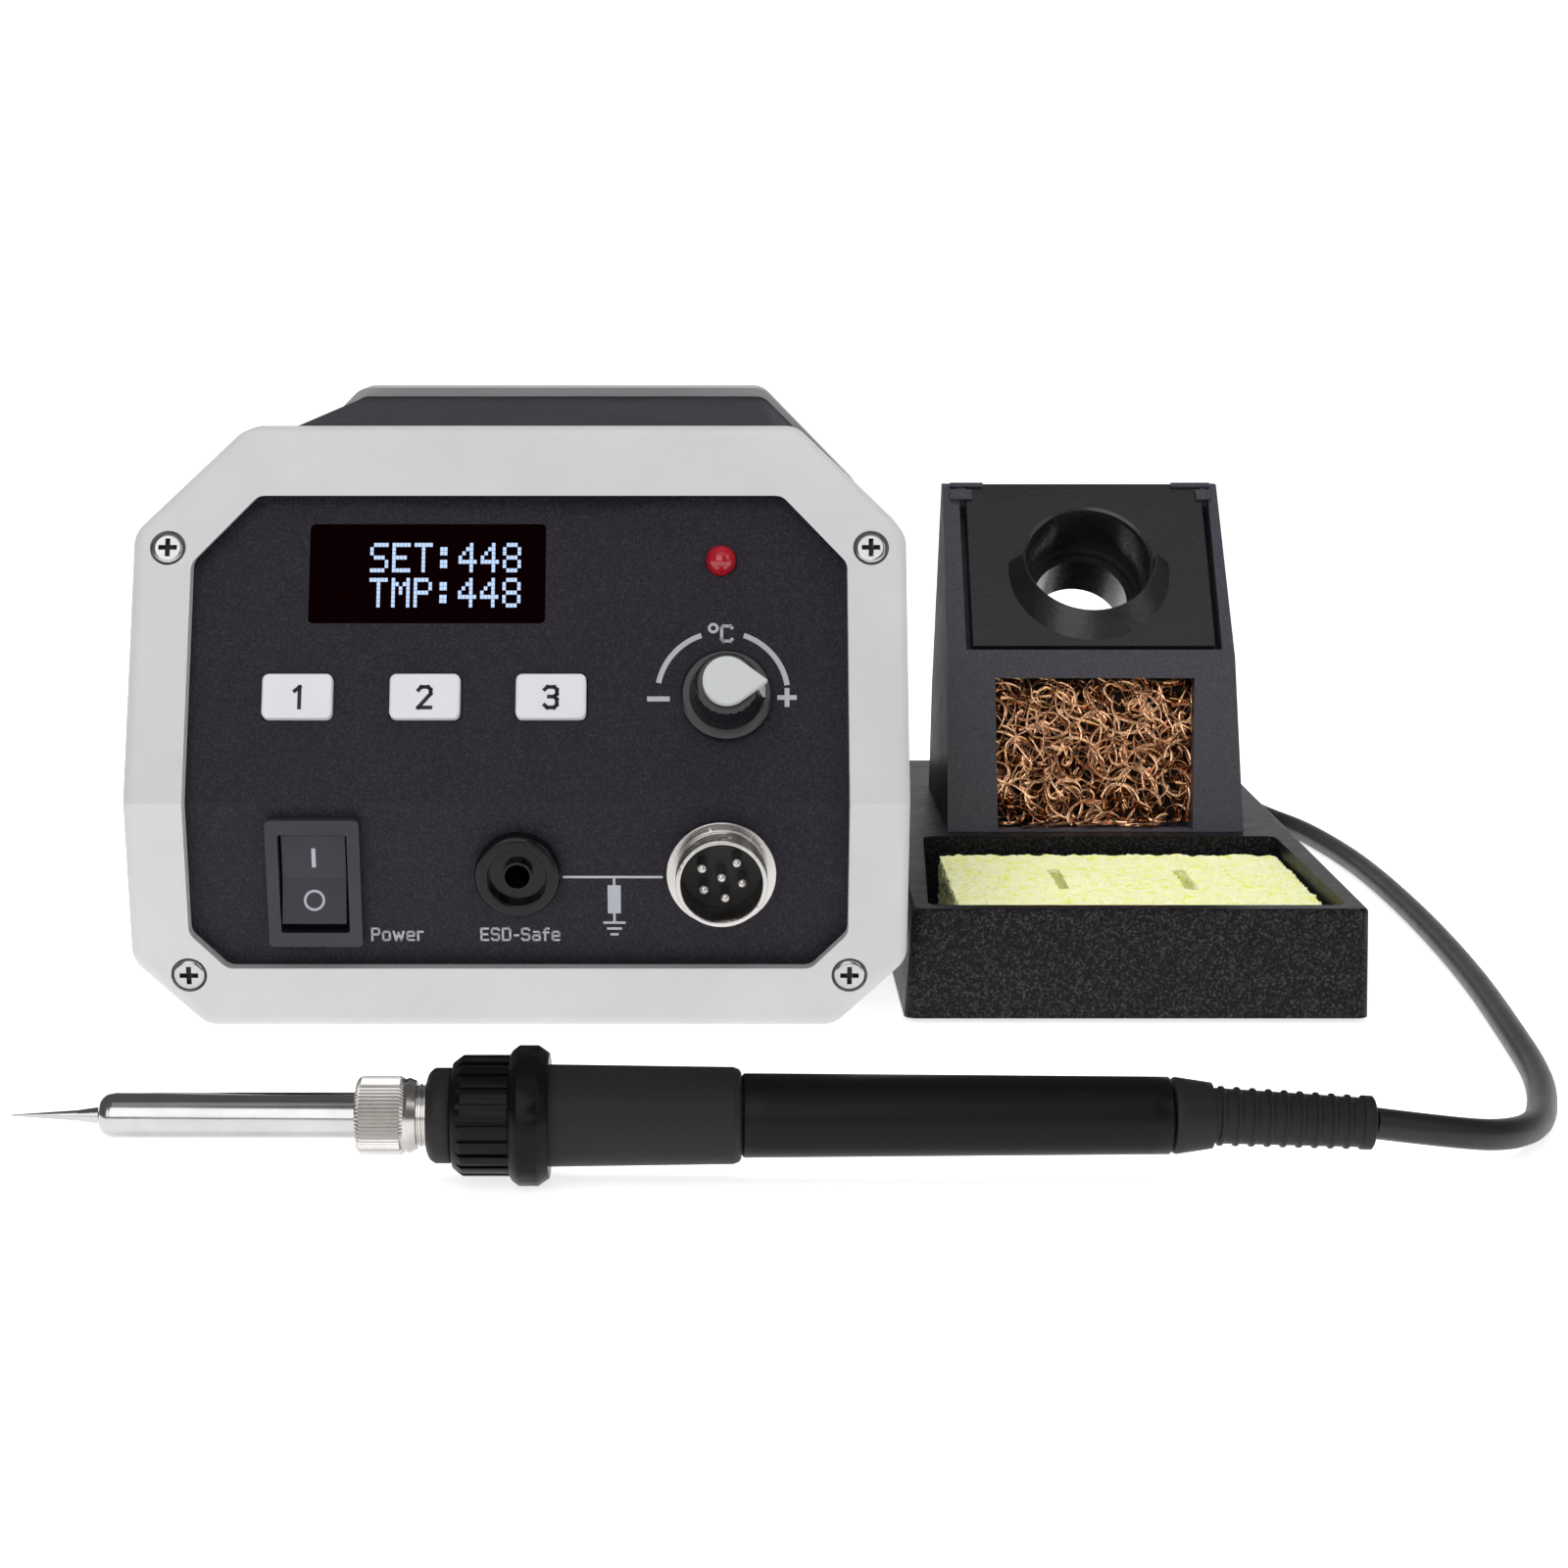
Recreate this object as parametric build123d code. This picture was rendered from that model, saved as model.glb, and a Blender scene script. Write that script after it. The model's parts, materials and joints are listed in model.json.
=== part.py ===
from build123d import *
import math
import os

# Soldering iron station: control unit, iron stand with sponge and brass wool, and the iron on its cable.
# Frame: millimetres, +Z up from the bench, the unit's front faces -Y, +X to the right of the front.
# The origin is under the middle of the whole set without the cable.

# ---- driving dimensions: control unit ----
UNIT_X = -37.3
UNIT_HALF = 62.4
UNIT_BOTTOM = 2.0
UNIT_TOP = 97.0
CREASE_Y = -51.1
CREASE_Z = 39.7
UPPER_LEAN = math.radians(23.1)
LOWER_LEAN = math.radians(8.0)
BEZEL_REAR_Y = -16.7
CAP_FRONT_Y = 117.3
REAR_Y = 131.45
BEZEL_SECTION = (UNIT_TOP, 17.4, 16.5)
CAP_SECTION = (97.3, 20.2, 20.6)
CASING_SECTION = (UNIT_TOP, 19.6, 19.5)
BOTTOM_CHAMFER_X = 11.6
BOTTOM_CHAMFER_Z = 11.2
EDGE_ROUND = 2.2
CORNER_ROUND = 4.5
SHELL = 1.5
FIT = 0.1
OPENING_HALF = 52.8
OPENING_BOTTOM = 12.0
OPENING_TOP = 86.6
OPENING_TOP_CHAMFER = 10.5
REAR_OPENING_TOP_CHAMFER = 13.5
OPENING_BOTTOM_CHAMFER = 5.9
PANEL_DEPTH = 3.0
PANEL_THICK = 2.0
PANEL_LAP = 2.0

# ---- front panel layout: x from the unit's middle, s up the slope from the crease ----
WINDOW_X, WINDOW_S, WINDOW_W, WINDOW_H = -15.0, 38.8, 38.2, 16.75
LED_X, LED_S, LED_R = 32.45, 40.9, 2.5
BUTTON_XS = (-35.3, -14.9, 5.25)
BUTTON_S, BUTTON_W, BUTTON_H = 18.0, 11.3, 7.35
BUTTON_PROUD = 1.6
BUTTON_TRAVEL = 0.8
KNOB_X, KNOB_S = 33.3, 18.2
SKIRT_R, SKIRT_H = 7.35, 2.2
KNOB_R, KNOB_TOP_R, KNOB_H = 6.0, 4.9, 8.6
KNOB_GAP = 0.5
FLUTES = 24
CAP_R, CAP_TIP, CAP_H = 3.8, 6.35, 2.0
POINTER_W = 1.6
ROCKER_X, ROCKER_S = -32.6, -14.0
ROCKER_W, ROCKER_H = 15.0, 21.4
PADDLE_W, PADDLE_H = 10.2, 15.4
PADDLE_PIVOT, PADDLE_TILT = -3.0, 8.8
PIVOT_R = 1.2
JACK_X, JACK_S, JACK_R = -0.1, -12.7, 6.9
JACK_BORE_R = 2.0
SOCKET_X, SOCKET_S = 32.5, -12.7
SOCKET_FLANGE_R, SOCKET_FLANGE_H = 8.8, 0.9
SOCKET_R = 7.3
SOCKET_INNER_R = 6.55
SOCKET_PROUD = 5.4
PIN_R, PIN_CIRCLE_R = 0.85, 3.45
PIN_ANGLES = (46, 154, 216, 280, 344)
KEY_ANGLE = 100
SCREW_TOP = (56.6, 42.2)
SCREW_BOTTOM = (53.1, -29.1)
REAR_SCREWS = ((55.3, 77.2), (53.0, 10.9))
SCREW_HEAD_R = 2.6
SCREW_SHANK_R = 1.4
CROSS_W, CROSS_L, CROSS_DEPTH = 0.8, 3.0, 1.2

# ---- driving dimensions: stand ----
STAND_X = 64.2
BASE_HALF = 37.5
BASE_FRONT_Y, BASE_REAR_Y = -36.3, 110.3
BASE_LIFT = 0.9
BASE_H = 19.3
BASE_SPREAD_LEFT, BASE_SPREAD_RIGHT = 1.2, 0.5
BASE_WALL = 3.5
BASE_RIM_ROUND = 0.8
TRAY_FRONT = (29.4, 98.6, -32.8)
TRAY_REAR = (32.8, 97.6, 26.2)
TRAY_FLOOR = 3.0
DECK_Y = 29.2
TOWER_X = 65.15
TOWER_HALF, TOWER_TOP_HALF = 27.5, 26.5
TOWER_FRONT = ((30.3, BASE_H), (41.6, 50.4), (65.7, 81.0))
TOWER_REAR = ((68.3, 81.0), (77.3, 40.0), (77.3, BASE_H))
TOWER_WALL = 2.6
PLATE_X = 65.8
RECESS_HALF, RECESS_DEPTH, RECESS_BOTTOM_S = 24.05, 1.6, 1.75
PLATE_HALF, PLATE_THICK, PLATE_TOP = 22.7, 1.6, 0.1
PLATE_BOTTOM_S = 2.55
LEDGE = 3.0
RAIL_DEPTH, GAP_DEPTH, GAP_SHORT = 7.0, 5.5, 4.0
LIP_LONG = 0.9
LIP_WIDTHS = (6.3, 7.5)
HOOK_W, HOOK_LONG, HOOK_DOWN = 2.4, 2.2, 1.6
HOOK_LOW, HOOK_TOP = 0.2, 0.65
FUNNEL_S = 21.2
FUNNEL_MOUTH_R = 11.6
FUNNEL_RIM = 0.9
FUNNEL_STEP_R = 10.5
FUNNEL_BORE_R = 9.15
FUNNEL_MOUTH_DEPTH, FUNNEL_STEP_DEPTH, FUNNEL_DEPTH = 13.0, 14.3, 24.5
FUNNEL_WALL = 1.6
FLARE_R, FLARE_DOWN, FLARE_TOP = 15.4, 2.2, 2.9
WOOL_WINDOW = ((47.05, BASE_H + 0.3), (83.2, BASE_H + 0.3), (84.4, 46.7), (47.05, 46.7))
WOOL_HALF = 19.5
SPONGE_X, SPONGE_Y = 66.2, -3.3
SPONGE_W, SPONGE_L, SPONGE_H = 62.0, 51.0, 13.6
SLOT_XS = (-11.3, 10.9)
SLOT_Y, SLOT_W, SLOT_L, SLOT_DEPTH = 4.3, 1.8, 17.0, 4.5

# ---- driving dimensions: iron, distances measured from the tip along the axis ----
IRON_TIP_X = -101.9
IRON_Y = -121.9
IRON_Z = 9.6
RELIEF_START, RELIEF_END = 163.3, 185.4
RELIEF_DROOP = 2.7

# ---- cable ----
CORD_R = 2.2
CORD_Z = 2.25
COIL_X, COIL_Y = 77.35, 161.0
COIL_MID_R = 24.5
COIL_HALF_WIDTH = 6.75
COIL_TOP = 9.0
PLUG_R = 9.0
PLUG_REAR_X, PLUG_Y = 84.0, 177.5
PLUG_Z = COIL_TOP + PLUG_R + FIT
RELIEF_TIP = (
    IRON_TIP_X + RELIEF_START + (RELIEF_END - RELIEF_START) * math.cos(math.radians(RELIEF_DROOP)),
    IRON_Y,
    IRON_Z - (RELIEF_END - RELIEF_START) * math.sin(math.radians(RELIEF_DROOP)),
)
CORD_ROUTE = [
    RELIEF_TIP,
    (93.9, -119.2, 6.5),
    (103.4, -114.4, 4.4),
    (110.6, -105.6, 3.1),
    (115.2, -92.8, 2.4),
    (119.2, -75.6, CORD_Z),
    (121.8, -50.0, CORD_Z),
    (125.0, -14.0, CORD_Z),
    (126.8, 30.0, CORD_Z),
    (126.6, 72.0, CORD_Z),
    (124.9, 97.0, CORD_Z),
    (121.7, 120.0, CORD_Z),
    (117.2, 134.0, CORD_Z),
    (114.2, 147.0, CORD_Z),
    (113.0, 160.0, CORD_Z),
    (109.5, 174.0, CORD_Z),
    (101.5, 185.0, CORD_Z),
    (90.0, 190.2, CORD_Z),
    (COIL_X, 190.2, CORD_Z),
]
TAIL_ROUTE = [
    (COIL_X, 134.5, 6.7),
    (96.0, 138.6, 9.8),
    (107.0, 152.0, 13.4),
    (105.8, 168.6, 16.4),
    (96.2, PLUG_Y, PLUG_Z),
    (PLUG_REAR_X, PLUG_Y, PLUG_Z),
]


# ---- helpers ----
def write(solids, node):
    """One STEP file per node; a list becomes a group of separate solids."""
    shape = Compound(children=list(solids)) if isinstance(solids, (list, tuple)) else solids
    export_step(shape, f"parts/{node}.step")


def slab_y(points, y0, y1):
    """A prism from an outline of (x, z) points, extruded along Y."""
    face = make_face(Polyline(*[(x, y0, z) for x, z in points], close=True))
    return extrude(face, amount=y1 - y0, dir=(0, 1, 0))


def slab_x(points, x0, x1):
    """A prism from an outline of (y, z) points, extruded along X."""
    face = make_face(Polyline(*[(x0, y, z) for y, z in points], close=True))
    return extrude(face, amount=x1 - x0, dir=(1, 0, 0))


def block(x0, x1, y0, y1, z0, z1):
    return Pos((x0 + x1) / 2, (y0 + y1) / 2, (z0 + z1) / 2) * Box(x1 - x0, y1 - y0, z1 - z0)


def octagon(half, bottom, top, cut_x_top, cut_z_top, cut_x_bottom, cut_z_bottom):
    """Outline of a box with its four corners cut off, about the unit's middle."""
    left, right = UNIT_X - half, UNIT_X + half
    return [
        (left, bottom + cut_z_bottom),
        (left + cut_x_bottom, bottom),
        (right - cut_x_bottom, bottom),
        (right, bottom + cut_z_bottom),
        (right, top - cut_z_top),
        (right - cut_x_top, top),
        (left + cut_x_top, top),
        (left, top - cut_z_top),
    ]


def unit_prism(section, inset, y0, y1):
    """One of the unit's eight-sided sections (top, top chamfer in X, in Z), inset, between two Y planes."""
    top, chamfer_x, chamfer_z = section
    trim = inset * 0.58
    points = octagon(
        UNIT_HALF - inset,
        UNIT_BOTTOM + inset,
        top - inset,
        chamfer_x - trim,
        chamfer_z - trim,
        BOTTOM_CHAMFER_X - trim,
        BOTTOM_CHAMFER_Z - trim,
    )
    prism = slab_y(points, y0, y1)
    return fillet(prism.edges().filter_by(Axis.Y), CORNER_ROUND - inset * 0.5)


def opening_prism(grow, y0, y1, top_chamfer=OPENING_TOP_CHAMFER):
    """The eight-sided opening of bezel or cap, grown all round."""
    points = octagon(
        OPENING_HALF + grow,
        OPENING_BOTTOM - grow,
        OPENING_TOP + grow,
        top_chamfer,
        top_chamfer,
        OPENING_BOTTOM_CHAMFER,
        OPENING_BOTTOM_CHAMFER,
    )
    prism = slab_y(points, y0, y1)
    return fillet(prism.edges().filter_by(Axis.Y), 2.5)


def front_outline(depth):
    """(y, z) points of the folded front surface, moved inward by depth."""
    upper = depth / math.cos(UPPER_LEAN)
    lower = depth / math.cos(LOWER_LEAN)
    fold_z = CREASE_Z + (lower - upper) / (math.tan(UPPER_LEAN) + math.tan(LOWER_LEAN))
    fold_y = CREASE_Y + upper + (fold_z - CREASE_Z) * math.tan(UPPER_LEAN)
    high, low = UNIT_TOP + 5, UNIT_BOTTOM - 5
    return [
        (CREASE_Y + lower + (CREASE_Z - low) * math.tan(LOWER_LEAN), low),
        (fold_y, fold_z),
        (CREASE_Y + upper + (high - CREASE_Z) * math.tan(UPPER_LEAN), high),
    ]


def behind_front(depth, y1):
    """Everything behind the folded front surface, up to the plane y1."""
    low, fold, high = front_outline(depth)
    return slab_x([low, fold, high, (y1, high[1]), (y1, low[1])], UNIT_X - 70, UNIT_X + 70)


def front_band(depth0, depth1):
    """The folded sheet between two depths behind the front surface."""
    outer, inner = front_outline(depth0), front_outline(depth1)
    return slab_x(outer + inner[::-1], UNIT_X - 70, UNIT_X + 70)


def upper_at(x, s, depth=PANEL_DEPTH):
    """A frame on the upper front plane: X right, Y up the slope, Z out of the panel."""
    normal = (0, -math.cos(UPPER_LEAN), math.sin(UPPER_LEAN))
    y = CREASE_Y + s * math.sin(UPPER_LEAN) + depth * math.cos(UPPER_LEAN)
    z = CREASE_Z + s * math.cos(UPPER_LEAN) - depth * math.sin(UPPER_LEAN)
    return Plane(origin=(UNIT_X + x, y, z), x_dir=(1, 0, 0), z_dir=normal).location


def lower_at(x, s, depth=PANEL_DEPTH):
    """A frame on the lower front plane: X right, Y up the slope, Z out of the panel."""
    normal = (0, -math.cos(LOWER_LEAN), -math.sin(LOWER_LEAN))
    y = CREASE_Y - s * math.sin(LOWER_LEAN) + depth * math.cos(LOWER_LEAN)
    z = CREASE_Z + s * math.cos(LOWER_LEAN) + depth * math.sin(LOWER_LEAN)
    return Plane(origin=(UNIT_X + x, y, z), x_dir=(1, 0, 0), z_dir=normal).location


def disc(place, radius, z0, z1):
    return place * Pos(0, 0, (z0 + z1) / 2) * Cylinder(radius, z1 - z0)


def height_above(place):
    """A key that gives an edge's height above a frame."""
    return lambda edge: (place.inverse() * Vertex(edge.center())).center().Z


def tile(place, width, height, z0, z1, corner):
    """A plate with rounded corners, lying on a frame between two heights."""
    return place * Pos(0, 0, z0) * extrude(RectangleRounded(width, height, corner), amount=z1 - z0)


def turned(stations):
    """A solid of revolution on the iron's axis from (distance from tip, radius) points."""
    start, end = stations[0][0], stations[-1][0]
    outline = [(start, 0)] + list(stations) + [(end, 0)]
    points = [(IRON_TIP_X + d, IRON_Y, IRON_Z + r) for d, r in outline]
    face = make_face(Polyline(*points, close=True))
    return revolve(face, Axis((0, IRON_Y, IRON_Z), (1, 0, 0)), 360)


def bore(start, end, radius):
    """A round cutter on the iron's axis."""
    middle = IRON_TIP_X + (start + end) / 2
    return Pos(middle, IRON_Y, IRON_Z) * Rot(0, 90, 0) * Cylinder(radius, end - start)


def tube_along(route, name):
    """The cable's tube: straight runs joined by tangent arcs as large as the runs allow."""
    points = [Vector(*p) for p in route]
    radii = []
    for before, here, after in zip(points, points[1:], points[2:]):
        shorter = min((here - before).length, (after - here).length)
        turn = math.radians((here - before).get_angle(after - here))
        radii.append(0.45 * shorter / math.tan(turn / 2))
    print(name, "arc radii", [round(r, 1) for r in radii])
    path = FilletPolyline(*route, radius=radii)
    start = Plane(origin=path @ 0, z_dir=path % 0)
    tube = sweep(start * Circle(CORD_R), path=path)
    length = path.length
    ratio = tube.volume / (math.pi * CORD_R**2 * length)
    print(name, "length", round(length, 1), "volume ratio", round(ratio, 4))
    return tube


# ---- control unit: housing ----
def screw_places():
    places = [upper_at(side * SCREW_TOP[0], SCREW_TOP[1], 0) for side in (-1, 1)]
    return places + [lower_at(side * SCREW_BOTTOM[0], SCREW_BOTTOM[1], 0) for side in (-1, 1)]


def front_bezel():
    body = unit_prism(BEZEL_SECTION, 0, CREASE_Y - 5, BEZEL_REAR_Y) & behind_front(0, BEZEL_REAR_Y)
    body = fillet([edge for edge in body.edges() if is_front_edge(edge)], EDGE_ROUND)
    inner = PANEL_DEPTH + PANEL_THICK
    cavity = unit_prism(CASING_SECTION, SHELL, CREASE_Y, BEZEL_REAR_Y + 1)
    cavity &= behind_front(inner, BEZEL_REAR_Y + 1)
    seat = opening_prism(PANEL_LAP, CREASE_Y - 5, BEZEL_REAR_Y) & behind_front(PANEL_DEPTH, BEZEL_REAR_Y)
    bosses = [disc(place, 3.4, -12, -1.5) for place in screw_places()]
    shell = body - cavity
    for boss in bosses:
        shell += boss & body
    shell -= seat
    shell -= opening_prism(0, CREASE_Y - 10, BEZEL_REAR_Y)
    for place in screw_places():
        shell -= disc(place, SCREW_HEAD_R + 0.3, -1.7, 4)
        shell -= disc(place, SCREW_SHANK_R + FIT, -13, 0)
    return shell


def is_front_edge(edge):
    """True for an edge that lies in the folded front surface and on the outside of the section."""
    middle = edge.center()
    lean = math.tan(UPPER_LEAN) if middle.Z > CREASE_Z else -math.tan(LOWER_LEAN)
    on_front = abs(middle.Y - (CREASE_Y + (middle.Z - CREASE_Z) * lean)) < 0.05
    crosses = abs(middle.Z - CREASE_Z) < 0.1 and edge.length > UNIT_HALF
    return on_front and not crosses


def front_panel():
    panel = front_band(PANEL_DEPTH, PANEL_DEPTH + PANEL_THICK)
    panel &= opening_prism(PANEL_LAP - FIT, CREASE_Y - 5, BEZEL_REAR_Y)
    through = PANEL_THICK + 2
    panel -= tile(upper_at(WINDOW_X, WINDOW_S), WINDOW_W, WINDOW_H, -through, 1, 0.8)
    panel -= disc(upper_at(LED_X, LED_S), LED_R + FIT, -through, 1)
    for x in BUTTON_XS:
        panel -= tile(upper_at(x, BUTTON_S), BUTTON_W + 0.4, BUTTON_H + 0.4, -through, 1, 1.2)
    panel -= disc(upper_at(KNOB_X, KNOB_S), 3.6, -through, 1)
    panel -= tile(lower_at(ROCKER_X, ROCKER_S), ROCKER_W - 1.6, ROCKER_H - 1.6, -through, 1, 0.6)
    panel -= disc(lower_at(JACK_X, JACK_S), 5.1, -through, 1)
    panel -= disc(lower_at(SOCKET_X, SOCKET_S), 8.0, -through, 1)
    return panel


def casing():
    front, rear = BEZEL_REAR_Y - 3.2, CAP_FRONT_Y + 3.2
    shell = unit_prism(CASING_SECTION, SHELL + FIT, front, rear)
    shell -= unit_prism(CASING_SECTION, 2 * SHELL + FIT, front - 1, rear + 1)
    slots = 7
    for side in (-1, 1):
        wall = UNIT_X + side * (UNIT_HALF - SHELL)
        for i in range(slots):
            y = 70 + i * 5
            shell -= block(wall - 4, wall + 4, y, y + 2, 30, 58)
    return shell


def rear_cap():
    body = unit_prism(CAP_SECTION, 0, CAP_FRONT_Y, REAR_Y)
    rim = [e for e in body.edges() if abs(e.center().Y - REAR_Y) < 0.01]
    body = fillet(rim, EDGE_ROUND)
    body -= unit_prism(CASING_SECTION, SHELL, CAP_FRONT_Y - 1, REAR_Y - PANEL_DEPTH - PANEL_THICK)
    body -= opening_prism(PANEL_LAP, CAP_FRONT_Y, REAR_Y - PANEL_DEPTH, REAR_OPENING_TOP_CHAMFER)
    body -= opening_prism(0, CAP_FRONT_Y, REAR_Y + 1, REAR_OPENING_TOP_CHAMFER)
    for place in rear_screw_places():
        body -= disc(place, SCREW_HEAD_R + 0.3, -1.7, 4)
        body -= disc(place, SCREW_SHANK_R + FIT, -13, 0)
    return body


def rear_screw_places():
    """Four corners as in front, on the flat rear face."""
    return [rear_at(side * x, z, 0) for x, z in REAR_SCREWS for side in (1, -1)]


def pan_screw(place, length):
    """A pan head screw with a cross recess, its head sunk in its counterbore."""
    head = disc(place, SCREW_HEAD_R, -1.6, 0.2)
    head = fillet(head.edges().sort_by(height_above(place))[-1:], 0.7)
    body = head + disc(place, SCREW_SHANK_R, -length, -1.5)
    for across, along in ((CROSS_L, CROSS_W), (CROSS_W, CROSS_L)):
        body -= place * Box(across, along, 2 * CROSS_DEPTH)
    return body


# ---- control unit: rear panel fittings ----
INLET_X, INLET_Z = 26.0, 36.0
INLET_W, INLET_H = 30.0, 38.0
DRAWER_H = 11.0


def rear_at(x, z, depth=PANEL_DEPTH):
    return Plane(origin=(UNIT_X + x, REAR_Y - depth, z), x_dir=(-1, 0, 0), z_dir=(0, 1, 0)).location


def rear_panel():
    front, rear = REAR_Y - PANEL_DEPTH - PANEL_THICK, REAR_Y - PANEL_DEPTH
    panel = opening_prism(PANEL_LAP - FIT, front, rear, REAR_OPENING_TOP_CHAMFER)
    panel -= tile(rear_at(INLET_X, INLET_Z), INLET_W - 3, INLET_H - 3, -6, 1, 1)
    for row in range(5):
        for column in range(12):
            place = rear_at(-36 + column * 4.4, 30 + row * 6)
            panel -= tile(place, 2.2, 4.4, -6, 1, 1.0)
    return panel


def mains_inlet():
    """Inlet body: flange, block, connector well above and fuse drawer tunnel below."""
    place = rear_at(INLET_X, INLET_Z)
    body = tile(place, INLET_W, INLET_H, 0, 1.6, 2)
    body += tile(place, INLET_W - 3.2, INLET_H - 3.2, -26, 0, 1)
    well = rear_at(INLET_X, INLET_Z + 6.5)
    body -= tile(well, 24.2, 16.6, -18, 3, 3)
    tunnel = rear_at(INLET_X, INLET_Z - 11)
    body -= tile(tunnel, 22.4, DRAWER_H + 0.4, -24, 3, 0.8)
    return body


def mains_pins():
    blades = []
    for x, z in ((-7, 0), (0, 4), (7, 0)):
        place = rear_at(INLET_X + x, INLET_Z + 4.5 + z)
        blades.append(tile(place, 2.0, 4.0, -18, -3, 0.4))
    return blades


def fuse_drawer():
    place = rear_at(INLET_X, INLET_Z - 11)
    body = tile(place, 22.0, DRAWER_H, -23, 1.9, 0.7)
    body -= tile(place * Pos(0, 2.4, 0), 20.6, DRAWER_H - 2.6, -21, -2.5, 0.5)
    return body + tile(place * Pos(0, 0, 1.9), 8, 2.0, 0, 0.8, 0.4)


def fuse():
    """A 5 by 20 mm glass fuse, lying across the drawer's pocket."""
    place = rear_at(INLET_X, INLET_Z - 11)
    return place * Pos(0, 1.0, -12) * Rot(0, 90, 0) * Cylinder(2.6, 20.0)


# ---- control unit: panel fittings ----
def display_window():
    return tile(upper_at(WINDOW_X, WINDOW_S), WINDOW_W - 2 * FIT, WINDOW_H - 2 * FIT, -1.6, -0.2, 0.7)


def display_module():
    place = upper_at(WINDOW_X, WINDOW_S)
    body = tile(place, WINDOW_W - 2, WINDOW_H - 1.6, -4.2, -2.2, 0.5)
    return body + tile(place, WINDOW_W - 2, WINDOW_H + 5, -6.0, -4.2, 0.5)


def status_led():
    place = upper_at(LED_X, LED_S)
    dome = place * Pos(0, 0, 0.2) * Sphere(LED_R)
    return dome + disc(place, LED_R, -5, 0.2)


def preset_button(x):
    place = upper_at(x, BUTTON_S)
    body = tile(place, BUTTON_W, BUTTON_H, -3.0, BUTTON_PROUD, 1.1)
    height = height_above(place)
    top = [edge for edge in body.edges() if height(edge) > BUTTON_PROUD - 0.01]
    return fillet(top, 0.5)


def button_switch(x):
    place = upper_at(x, BUTTON_S)
    return tile(place, 6.0, 6.0, -8.0, -5.4, 0.4) + disc(place, 1.7, -5.4, -3.0 - BUTTON_TRAVEL - 0.2)


def control_board():
    board = tile(upper_at(-2, 26), 94, 44, -9.6, -8.0, 1.5)
    board -= disc(upper_at(KNOB_X, KNOB_S), 3.9, -12, 0)
    return board


def potentiometer():
    place = upper_at(KNOB_X, KNOB_S)
    return disc(place, 7.5, -17, -9.6) + disc(place, 3.4, -9.6, -0.2) + disc(place, 2.95, -0.2, 4.5)


def pointer_strip(grow):
    """The pointer's bar down the knob's side; the knob has a slot of the same shape."""
    foot = SKIRT_H + 0.6
    outline = [(CAP_R - 0.6, foot), (KNOB_R + 0.2, foot), (KNOB_TOP_R + 0.4, KNOB_H), (CAP_R - 0.6, KNOB_H)]
    width = POINTER_W + 2 * grow
    points = [(x, -width / 2, z) for x, z in outline]
    return extrude(make_face(Polyline(*points, close=True)), amount=width, dir=(0, 1, 0))


def knob():
    """A low skirt with a fluted cone on it."""
    place = upper_at(KNOB_X, KNOB_S)
    profile = [
        (0, KNOB_GAP), (SKIRT_R, KNOB_GAP), (SKIRT_R, SKIRT_H - 0.4), (SKIRT_R - 0.4, SKIRT_H),
        (KNOB_R, SKIRT_H), (KNOB_TOP_R + 0.1, KNOB_H - 0.4), (KNOB_TOP_R - 0.3, KNOB_H), (0, KNOB_H),
    ]
    body = revolve(make_face(Polyline(*[(r, 0, z) for r, z in profile], close=True)), Axis.Z, 360)
    body -= Pos(0, 0, 2.3) * Cylinder(3.0, 5.0)
    height = KNOB_H - SKIRT_H
    lean = math.degrees(math.atan2(KNOB_R - KNOB_TOP_R, height))
    for i in range(FLUTES):
        spot = Pos((KNOB_R + KNOB_TOP_R) / 2 + 0.3, 0, SKIRT_H + height / 2 + 0.8)
        body -= Rot(0, 0, (i + 0.5) * 360 / FLUTES) * spot * Rot(0, -lean, 0) * Cylinder(0.5, height)
    return place * (body - pointer_strip(0.02))


def knob_cap():
    place = upper_at(KNOB_X, KNOB_S)
    reach = math.acos(CAP_R / CAP_TIP)
    touch = (CAP_R * math.cos(reach), CAP_R * math.sin(reach))
    corners = [(0, 0), (touch[0], -touch[1]), (CAP_TIP, 0), (touch[0], touch[1])]
    wedge = make_face(Polyline(*corners, close=True))
    cap = extrude(wedge, amount=CAP_H) + Pos(0, 0, CAP_H / 2) * Cylinder(CAP_R, CAP_H)
    return place * (Pos(0, 0, KNOB_H) * cap + pointer_strip(0))


def pivot(radius, length):
    """A round bar on the rocker's own hinge axis."""
    place = lower_at(ROCKER_X, ROCKER_S)
    return place * Pos(0, 0, PADDLE_PIVOT) * Rot(0, 90, 0) * Cylinder(radius, length)


def rocker_switch_housing():
    place = lower_at(ROCKER_X, ROCKER_S)
    body = tile(place, ROCKER_W, ROCKER_H, 0, 1.8, 0.8)
    body += tile(place, ROCKER_W - 1.9, ROCKER_H - 1.9, -16, 0, 0.5)
    body -= tile(place, PADDLE_W + 0.8, PADDLE_H + 1.2, -10, 3, 0.4)
    return body - pivot(PIVOT_R + FIT, ROCKER_W)


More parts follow.
